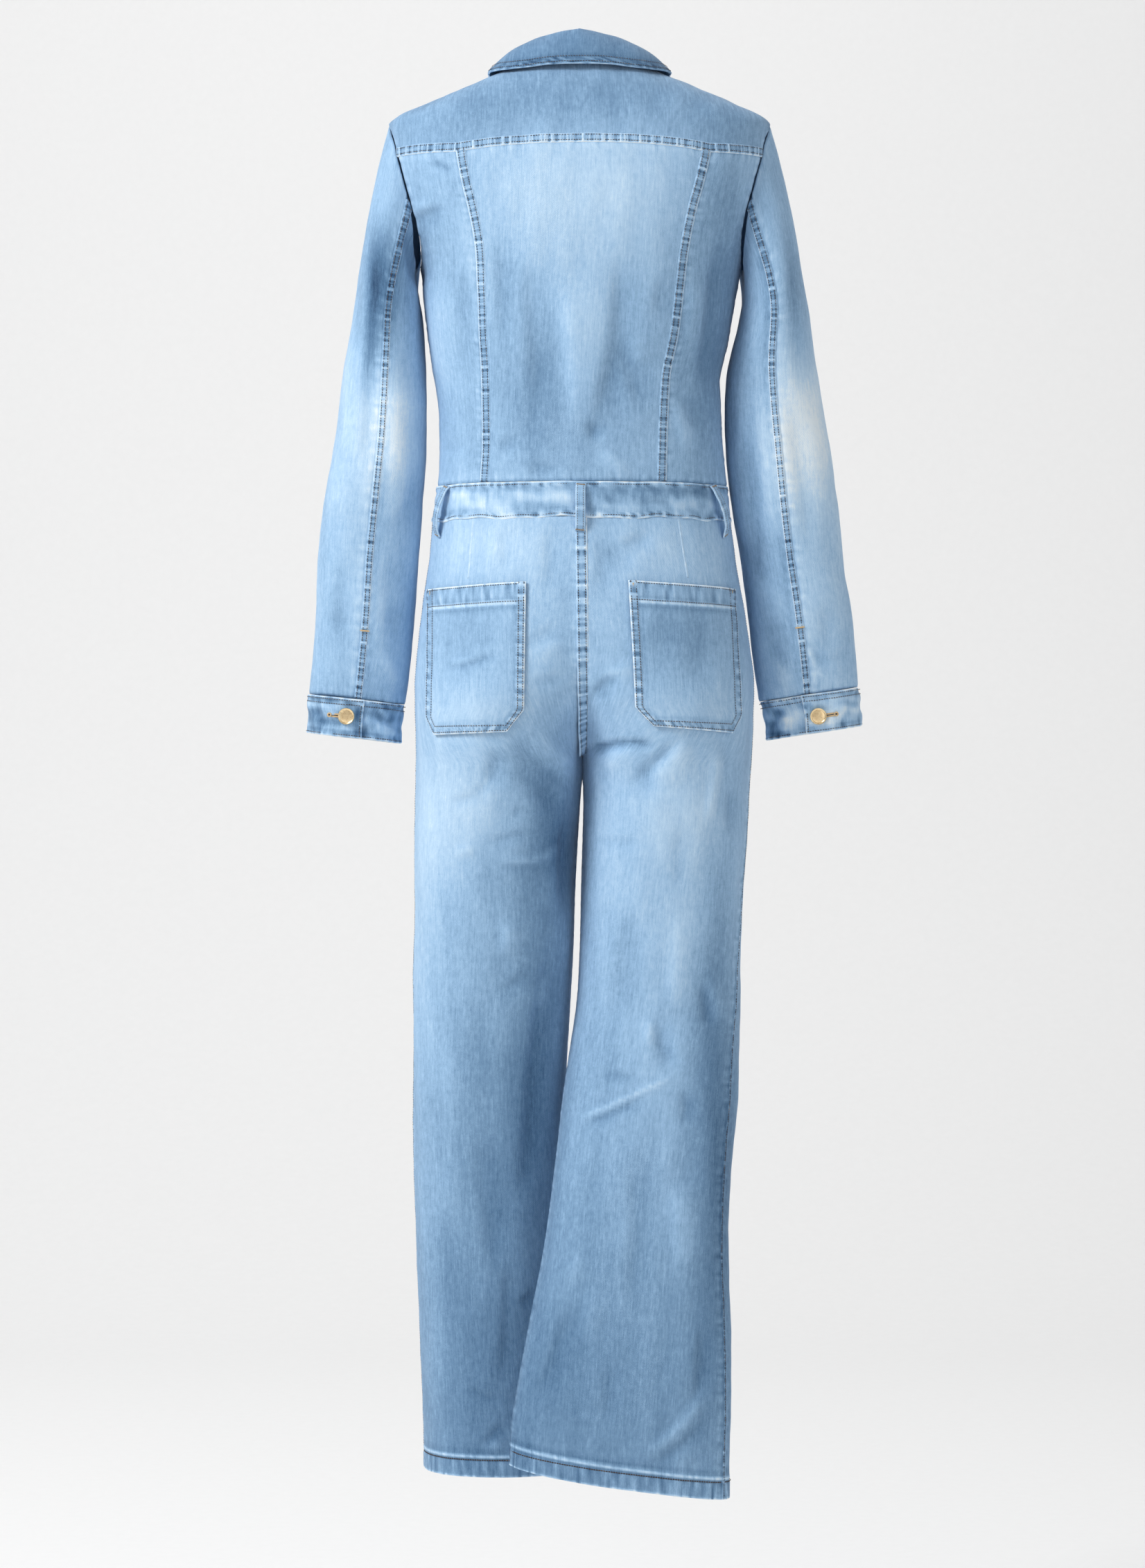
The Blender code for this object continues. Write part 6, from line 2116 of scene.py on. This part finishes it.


# --- this garment ------------------------------------------------------------------------


# Every crease: its depth (a ridge above 0) and width, the share of its length over which
# each end dies away, how pale it is painted (painted shade in a trough, a painted highlight on a
# ridge), and x and z of the places it runs through.
BACK_CREASES = (
    # the back, from the yoke to the waist
    (-3.7, 16, 0.35, -0.039, (44, -192), (46, -256), (39, -318), (36, -370)),
    (3.6, 20, 0.35, 0.049, (7, -217), (4, -281), (-1, -343), (7, -397)),
    (-4.2, 14, 0.3, -0.061, (-44, -192), (-41, -246), (-38, -296), (-23, -350), (-15, -389)),
    (-2.7, 12, 0.35, -0.039, (-41, -281), (-55, -320), (-67, -365)),
    (2.2, 9, 0.4, 0.05, (-52, -281), (-67, -315)),
    (-2.5, 9, 0.45, -0.044, (78, -380), (69, -404)),
    (-3.4, 8, 0.45, -0.077, (-13, -365), (-15, -391)),
    (2.5, 7, 0.4, 0.08, (-20, -394), (-38, -412), (-55, -426)),
    (-2.1, 8, 0.4, -0.044, (56, -417), (36, -412), (17, -422)),
    (-4.6, 16, 0.3, -0.077, (-144, -175), (-139, -207), (-134, -246), (-127, -306), (-124, -343)),
    (2.9, 12, 0.35, 0.05, (-118, -217), (-114, -268), (-108, -310)),
    (2.2, 8, 0.4, 0.056, (-96, -338), (-102, -367), (-112, -404)),
    (-2.1, 9, 0.4, -0.039, (-106, -335), (-117, -375)),
    (-3.4, 8, 0.45, -0.061, (175, -164), (155, -159), (130, -151)),
    (2, 9, 0.45, 0.049, (170, -154), (145, -147)),
    (-4.6, 9, 0.3, -0.077, (171, -165), (171, -192), (160, -231)),
    (-1.6, 3.5, 0.4, -0.14, (150, -103), (138, -112), (124, -118)),
    (2.5, 18, 0.35, 0.05, (148, -212), (143, -281), (138, -355)),
    (-2.2, 14, 0.35, -0.04, (120, -207), (118, -281), (115, -343)),
    (-2.2, 12, 0.35, -0.04, (76, -182), (78, -246), (76, -306)),
    (-1.5, 8, 0.45, -0.028, (133, -380), (120, -402)),
    (-1.8, 10, 0.4, -0.04, (-85, -217), (-77, -271)),
    # the seat and thighs
    (-1.8, 3.5, 0.35, -0.09, (134, -617), (103, -610), (79, -600)),
    (1.1, 4, 0.4, 0.04, (128, -611), (100, -604)),
    (-2.1, 8, 0.4, -0.039, (-27, -488), (-40, -501), (-56, -518)),
    (-2.5, 8, 0.4, -0.05, (-37, -495), (-56, -488), (-75, -482)),
    (-3.1, 8, 0.35, -0.061, (-12, -651), (-17, -637), (-29, -628), (-46, -622)),
    (2.2, 8, 0.4, 0.056, (-25, -624), (-44, -616), (-56, -614)),
    (-1.5, 8, 0.4, -0.028, (56, -594), (38, -583), (16, -571)),
    (1.6, 8, 0.4, 0.04, (52, -605), (29, -594), (12, -588)),
    (-2, 8, 0.4, -0.039, (52, -635), (29, -627), (9, -622)),
    (-3.9, 13, 0.3, -0.028, (67, -679), (55, -699), (35, -719), (7, -738)),
    (2.9, 10, 0.35, 0.05, (46, -679), (29, -696), (4, -713)),
    (-2.5, 9, 0.35, -0.039, (63, -710), (43, -733), (12, -761)),
    # A deep painted shadow under the right side of the seat.
    (-4.2, 3.4, 0.25, -0.13, (-1, -697), (-13, -693), (-33, -690), (-58, -689), (-80, -692)),
    (-2.2, 8, 0.35, -0.044, (-3, -701), (-25, -697), (-55, -695)),
    (2.9, 8, 0.35, 0.049, (-10, -707), (-27, -703), (-53, -696)),
    (-4.4, 13, 0.4, -0.039, (-108, -682), (-88, -700), (-66, -720), (-44, -742)),
    (3.9, 12, 0.35, 0.098, (-112, -687), (-92, -707), (-70, -731)),
    (2.2, 12, 0.4, 0.03, (-53, -685), (-39, -707), (-25, -724)),
    (-3.4, 12, 0.35, -0.044, (77, -693), (86, -716), (90, -738)),
    (-1.9, 7, 0.45, -0.039, (89, -734), (106, -738)),
    (-1.6, 5, 0.4, -0.05, (134, -750), (114, -745), (97, -741)),
    (1.6, 5, 0.35, 0.06, (128, -803), (115, -795), (103, -798)),
    (-1.6, 5, 0.35, -0.05, (97, -792), (74, -784), (43, -775)),
    (1.8, 4.5, 0.3, 0.09, (86, -805), (63, -810), (40, -805), (12, -789)),
    (-1.6, 4.5, 0.35, -0.08, (83, -810), (57, -814), (35, -809)),
    (-1.4, 6, 0.45, -0.04, (72, -764), (49, -750)),
    (-3.1, 10, 0.3, -0.05, (-150, -685), (-146, -730), (-138, -775)),
    (2.9, 9, 0.3, 0.063, (-140, -687), (-136, -730), (-128, -778)),
    (-2.5, 7, 0.35, -0.061, (-155, -730), (-150, -786)),
    (-3.1, 9, 0.3, -0.05, (12, -758), (16, -806), (18, -866)),
    (1.8, 9, 0.35, 0.04, (29, -801), (32, -866)),
    (-1.4, 6, 0.4, -0.04, (-13, -786), (-44, -789), (-67, -788)),
    (-1.8, 14, 0.35, -0.04, (-107, -758), (-101, -803), (-105, -849)),
    (-1.8, 10, 0.35, -0.04, (77, -470), (73, -498), (69, -521)),
    (-1.9, 12, 0.35, -0.028, (29, -470), (26, -509), (32, -543)),
    (-1.8, 10, 0.35, -0.04, (-19, -473), (-25, -509), (-16, -546)),
    # the lower legs
    (-5.2, 13, 0.25, -0.077, (21, -872), (33, -928), (45, -1006), (50, -1093), (58, -1164)),
    (2.5, 5, 0.4, 0.11, (34, -920), (40, -963)),
    (2.5, 9, 0.4, 0.05, (74, -864), (71, -884), (78, -908)),
    (-1.9, 7, 0.4, -0.028, (43, -908), (60, -928), (84, -943)),
    (-2.2, 16, 0.3, -0.04, (102, -1069), (94, -1164), (78, -1243)),
    (2.2, 16, 0.3, 0.04, (129, -967), (131, -1085), (133, -1204)),
    (-2.7, 11, 0.3, -0.039, (70, -1204), (72, -1282), (78, -1345)),
    (-2.1, 6, 0.4, -0.061, (102, -1407), (88, -1393), (74, -1379)),
    (2.2, 6, 0.4, 0.07, (94, -1411), (78, -1395)),
    (-1.5, 6, 0.4, -0.028, (118, -1342), (98, -1357), (76, -1355)),
    (-4, 8, 0.35, -0.077, (-80, -959), (-80, -987), (-89, -1004), (-105, -1016)),
    (2.2, 8, 0.4, 0.05, (-70, -967), (-71, -995)),
    (2.4, 2.8, 0.2, 0.13, (5, -1069), (-24, -1057), (-60, -1040), (-97, -1023)),
    (-2, 4.5, 0.3, -0.08, (-1, -1074), (-32, -1061), (-68, -1043)),
    (-1.6, 5, 0.4, -0.07, (-16, -1019), (-44, -1025), (-64, -1022)),
    (-2.2, 16, 0.3, -0.04, (-48, -849), (-46, -920), (-40, -979)),
    (2.2, 14, 0.3, 0.049, (-103, -849), (-99, -920), (-95, -967)),
    (2.6, 8, 0.35, 0.077, (-131, -920), (-143, -979)),
    (-2.1, 7, 0.35, -0.044, (-123, -928), (-131, -979)),
    (-1.9, 7, 0.4, -0.039, (-103, -1034), (-109, -1054), (-103, -1077)),
    (-2.2, 16, 0.3, -0.04, (-56, -1093), (-60, -1188), (-52, -1267)),
    (2.2, 14, 0.3, 0.05, (-99, -1125), (-103, -1227)),
    (-2.7, 12, 0.3, -0.039, (3, -1243), (19, -1290), (43, -1357)),
    (1.8, 10, 0.35, 0.04, (-16, -1235), (-1, -1294)),
    (-2.1, 8, 0.3, -0.039, (-124, -1267), (-121, -1314), (-117, -1357)),
    (2.5, 6, 0.3, 0.09, (-60, -1403), (-87, -1385), (-115, -1357), (-129, -1330)),
    (-1.9, 6, 0.35, -0.039, (-72, -1411), (-103, -1389), (-127, -1365)),
    (1.8, 8, 0.4, 0.04, (-1, -1196), (7, -1235)),
    (1.8, 12, 0.35, 0.04, (149, -1243), (145, -1322), (149, -1393)),
    (-1.5, 9, 0.35, -0.028, (-32, -1302), (-28, -1373)),
    (-1.9, 7, 0.4, -0.039, (62, -1263), (43, -1247)),
    # pale lines over the right cuff
    (1.2, 2.2, 0.3, 0.15, (-233, -590), (-236, -600), (-240, -611), (-246, -619), (-256, -628)),
    (1.0, 2.0, 0.3, 0.11, (-236, -613), (-239, -622), (-244, -631)),
    (-1.4, 5, 0.35, -0.08, (-239, -590), (-245, -602), (-251, -614)),
    # the left sleeve and cuff
    # The first is mostly a painted shadow beside the sleeve's back seam.
    (-3.2, 11, 0.35, -0.34, (206, -165), (209, -220), (213, -290), (218, -360)),
    (-3.4, 11, 0.3, -0.044, (210, -307), (214, -368), (217, -415)),
    (2.9, 16, 0.3, 0.049, (185, -314), (183, -375), (187, -435)),
    (-1.8, 12, 0.35, -0.04, (219, -206), (224, -253), (232, -307)),
    (-2.1, 10, 0.3, -0.028, (171, -341), (168, -402), (171, -469)),
    (1.8, 12, 0.35, 0.04, (246, -402), (249, -469)),
    (-1.7, 8, 0.4, -0.028, (168, -422), (175, -456), (195, -479)),
    (-2.2, 11, 0.35, -0.04, (239, -489), (242, -553), (249, -604)),
    (-1.8, 12, 0.35, -0.04, (188, -486), (192, -553), (188, -604)),
    (-1.4, 7, 0.4, -0.028, (266, -553), (252, -563), (232, -567)),
    (-1.4, 7, 0.4, -0.028, (175, -546), (185, -560), (202, -567)),
    (1.8, 6, 0.4, 0.05, (185, -634), (192, -611), (205, -597)),
    (-2.9, 4.5, 0.35, -0.16, (276, -648), (266, -661), (262, -678)),
    (2.2, 4.5, 0.35, 0.14, (266, -646), (252, -656), (249, -671)),
    (-2.2, 4, 0.4, -0.16, (239, -646), (230, -653)),
    (-2.2, 4, 0.4, -0.14, (235, -676), (225, -671), (222, -681)),
    (-2.9, 4.5, 0.35, -0.16, (214, -651), (202, -664), (188, -671)),
    (2.2, 4.5, 0.35, 0.14, (210, -668), (198, -675), (185, -678)),
    (-1.8, 4, 0.4, -0.11, (202, -648), (188, -658)),
    # the right sleeve and cuff
    # The first is mostly a painted shadow beside the sleeve's back seam.
    (-2.2, 11, 0.35, -0.132, (-213, -160), (-217, -220), (-222, -290), (-228, -350)),
    (-3.1, 12, 0.3, -0.044, (-214, -330), (-228, -430), (-240, -510)),
    (2.6, 14, 0.3, 0.049, (-185, -320), (-192, -420), (-200, -500)),
    (-1.8, 13, 0.35, -0.04, (-236, -250), (-246, -330), (-256, -400)),
    (-2.5, 11, 0.3, -0.039, (-168, -360), (-172, -440), (-186, -540)),
    (1.8, 12, 0.35, 0.04, (-262, -420), (-270, -520)),
    (-1.9, 8, 0.4, -0.028, (-160, -470), (-176, -510), (-205, -535)),
    (-1.9, 10, 0.35, -0.028, (-250, -545), (-258, -610)),
    (-2, 11, 0.35, -0.04, (-196, -550), (-204, -620)),
    (-1.4, 7, 0.4, -0.028, (-282, -590), (-262, -605), (-240, -606)),
    (-1.4, 7, 0.4, -0.028, (-186, -585), (-206, -604), (-222, -608)),
    (1.8, 6, 0.4, 0.05, (-212, -640), (-205, -612), (-190, -600)),
    (-2.9, 4.5, 0.35, -0.16, (-284, -645), (-272, -660), (-268, -678)),
    (2, 4.5, 0.35, 0.12, (-272, -644), (-258, -656), (-252, -674)),
    (-2.2, 4, 0.4, -0.14, (-232, -642), (-222, -654)),
    (-2.7, 4.5, 0.35, -0.15, (-206, -648), (-198, -664), (-196, -680)),
    (2, 4.5, 0.35, 0.12, (-216, -650), (-208, -668)),
    (-1.8, 4, 0.4, -0.11, (-246, -676), (-232, -670)),
)
FRONT_CREASES = (
    # the chest, waist and sleeves
    (-2.1, 12, 0.35, -0.028, (96, -60), (84, -110), (70, -160)),
    (-2.5, 11, 0.35, -0.039, (-98, -64), (-90, -118), (-72, -150)),
    (-3.4, 9, 0.4, -0.044, (150, -185), (118, -205), (86, -212)),
    (2.5, 10, 0.4, 0.05, (146, -168), (112, -186)),
    (-3.1, 9, 0.4, -0.044, (-152, -190), (-122, -206), (-92, -208)),
    (-2.7, 15, 0.3, -0.028, (118, -230), (112, -310), (106, -400)),
    (2.6, 17, 0.35, 0.049, (70, -240), (76, -330), (70, -412)),
    (2.4, 16, 0.35, 0.049, (-66, -236), (-74, -320), (-66, -408)),
    (-2.9, 14, 0.3, -0.039, (-112, -232), (-116, -320), (-102, -404)),
    (-2.1, 10, 0.35, -0.028, (38, -300), (44, -360), (36, -415)),
    (-2, 10, 0.35, -0.028, (-34, -320), (-44, -372), (-36, -418)),
    (-2.7, 12, 0.3, -0.039, (214, -300), (222, -400), (236, -500)),
    (-2.9, 12, 0.3, -0.039, (-218, -300), (-230, -400), (-242, -500)),
    (-2.5, 8, 0.4, -0.039, (256, -350), (232, -372), (196, -378)),
    (-2.3, 8, 0.4, -0.039, (-262, -366), (-238, -384), (-200, -386)),
    (-1.9, 8, 0.4, -0.028, (250, -400), (226, -412), (190, -404)),
    (-1.9, 9, 0.4, -0.028, (-266, -520), (-240, -540), (-204, -536)),
    (-2, 9, 0.4, -0.028, (264, -560), (236, -580), (200, -572)),
    (-2.7, 5, 0.35, -0.14, (270, -648), (254, -664), (240, -678)),
    (-2.7, 5, 0.35, -0.14, (-276, -646), (-262, -662), (-246, -676)),
    (2, 5, 0.35, 0.11, (206, -650), (216, -670)),
    (2, 5, 0.35, 0.11, (-214, -648), (-224, -668)),
    # the lap, thighs and lower legs
    (-4, 10, 0.35, -0.05, (20, -690), (62, -672), (108, -640)),
    (-4.2, 10, 0.35, -0.05, (-18, -692), (-58, -676), (-112, -646)),
    (-2.7, 10, 0.35, -0.039, (18, -660), (60, -640), (100, -604)),
    (-2.6, 10, 0.35, -0.039, (-22, -662), (-66, -644), (-104, -612)),
    (3.2, 11, 0.35, 0.056, (26, -715), (74, -704), (130, -690)),
    (3.2, 11, 0.35, 0.056, (-24, -716), (-76, -706), (-134, -694)),
    (-1.9, 12, 0.35, -0.028, (26, -640), (30, -560), (24, -490)),
    (2.9, 17, 0.25, 0.056, (88, -740), (86, -860), (92, -980)),
    (2.9, 17, 0.25, 0.056, (-86, -744), (-84, -864), (-76, -990)),
    (-3.1, 13, 0.3, -0.044, (46, -780), (44, -900), (48, -1010)),
    (-3.1, 13, 0.3, -0.044, (-42, -776), (-38, -890), (-30, -1000)),
    (-2.5, 14, 0.3, -0.028, (130, -800), (134, -930), (138, -1060)),
    (-2.5, 14, 0.3, -0.028, (-134, -800), (-128, -940), (-118, -1060)),
    (-2.7, 9, 0.4, -0.044, (50, -990), (86, -1012), (132, -1004)),
    (-2.3, 8, 0.4, -0.039, (60, -1040), (98, -1054), (140, -1040)),
    (-2.9, 9, 0.4, -0.044, (-24, -1010), (-62, -1034), (-112, -1026)),
    (-2.1, 8, 0.4, -0.039, (-14, -1066), (-54, -1084), (-104, -1070)),
    (-2.7, 14, 0.3, -0.039, (60, -1110), (62, -1240), (70, -1360)),
    (2.7, 15, 0.3, 0.05, (112, -1120), (108, -1250), (112, -1390)),
    (-2.7, 14, 0.3, -0.039, (-20, -1130), (0, -1250), (20, -1380)),
    (2.7, 15, 0.3, 0.05, (-74, -1140), (-62, -1260), (-54, -1400)),
    (-2.1, 7, 0.4, -0.044, (40, -1400), (80, -1384), (120, -1396)),
    (-2.1, 7, 0.4, -0.044, (10, -1404), (-40, -1388), (-90, -1400)),
)
# Where the cloth is painted paler (above 0) or darker, for worn or kept dye and in places for painted
# shade: how much, x and z of the middle, reach across and along.
BACK_FADES_AND_SHADES = (
    (0.19, 0, -137, 95, 72),  # between the shoulders
    (-0.09, 0, -45, 190, 30),  # the yoke
    (-0.14, 30, -345, 70, 70),
    (-0.14, -126, -290, 40, 110),  # painted shadow beside the right armhole, here and on the next line
    (-0.14, -150, -165, 30, 60),
    (-0.06, 150, -160, 40, 60),
    (0.31, 205, -362, 34, 88),  # elbows
    (0.42, -232, -368, 38, 92),
    (0.12, 205, -560, 40, 70),
    (0.12, -236, -570, 40, 80),
    (-0.12, 190, -240, 30, 60),
    (-0.15, 258, -660, 50, 26),  # cuffs
    (0.13, -262, -660, 50, 26),
    (0.10, 96, -446, 60, 14),  # the waistband
    (-0.10, -66, -440, 60, 20),
    (0.17, 84, -492, 60, 36),  # the seat
    (0.12, -80, -500, 50, 40),
    (0.05, 60, -600, 30, 60),
    (-0.06, 110, -585, 45, 40),  # the left pocket
    (-0.13, -105, -575, 52, 40),  # the right pocket
    (0.10, -108, -655, 46, 22),
    (0.10, 105, -658, 46, 22),
    (0.18, 120, -760, 42, 80),  # thighs
    (0.20, -105, -800, 46, 90),
    (0.08, -25, -790, 22, 90),
    (-0.25, 22, -795, 34, 80),
    (-0.16, 40, -1010, 50, 190),
    (-0.16, 128, -1090, 60, 150),  # lower legs, darker: kept dye, and painted shade where the light falls off lower down
    (-0.26, 95, -1340, 110, 170),
    (-0.08, -60, -1130, 60, 90),
    (-0.16, -55, -1360, 100, 150),
    (-0.22, -140, -1070, 32, 210),
    (-0.10, -140, -1300, 34, 180),
    (0.10, 157, -1000, 20, 300),
    (-0.17, 201, -200, 18, 42),  # small ones: the sleeves; the first is a painted shadow beside the left sleeve's back seam
    (0.10, 182, -382, 26, 50),
    (0.07, -215, -382, 26, 50),
    (0.08, 0, -283, 34, 60),  # the middle and side of the back
    (-0.06, -134, -354, 16, 60),
    (0.08, -30, -566, 26, 60),  # the seat
    (-0.10, 25, -779, 18, 60),  # the legs
    (-0.06, 101, -814, 30, 50),
    (-0.06, -86, -814, 30, 40),
    (-0.09, 52, -1062, 22, 120),
    (-0.11, -138, -991, 16, 160),
)
FRONT_FADES = (
    (0.12, 92, -800, 55, 130),
    (0.12, -86, -800, 55, 130),
    (0.08, 90, -1000, 50, 110),
    (0.08, -60, -1020, 50, 110),
    (0.08, 90, -130, 60, 70),
    (0.08, -90, -130, 60, 70),
    (-0.06, 80, -330, 70, 90),
    (-0.06, -80, -330, 70, 90),
    (0.12, 230, -400, 40, 110),
    (0.12, -235, -400, 40, 110),
    (-0.10, 0, -700, 60, 60),
    (0.10, 100, -650, 50, 26),
    (0.10, -100, -650, 50, 26),
    (-0.08, 80, -1300, 90, 120),
    (-0.08, -30, -1300, 90, 120),
)


def hand_laid() -> Drape:
    """The creases, the patches of worn or kept dye and the patches of painted shade that the hanging cloth has, back
    and front.
    """
    creases = [
        Crease(face, depth, width, fade, tint, tuple(points))
        for face, table in ((Face.BACK, BACK_CREASES), (Face.FRONT, FRONT_CREASES))
        for depth, width, fade, tint, *points in table
    ]
    fades_and_shades = [
        FadeAndShade(face, x, z, across, along, amount)
        for face, table in ((Face.BACK, BACK_FADES_AND_SHADES), (Face.FRONT, FRONT_FADES))
        for amount, x, z, across, along in table
    ]
    return Drape(creases, fades_and_shades)


def main() -> None:
    """Builds the garment's pieces in order, then the studio."""
    logging.basicConfig(level=logging.INFO, format="%(message)s", stream=sys.stdout)
    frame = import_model()
    room = Workroom(hand_laid(), Denim().material(), Thread().material(), ButtonMetal().material())
    Body().build(room)
    Collar().build(room)
    for side in Side:
        Arm(side).build(room)
    Band().build(room)
    for side in Side:
        Trouser(side, DARTS[side], BACK_POCKETS[side], FRONT_POCKETS[side]).build(room)
    Fly().build(room)
    Buttons().build(room, (entry["node"] for entry in frame["record"]["subparts"]))
    Studio().build()


if __name__ == "__main__":
    main()
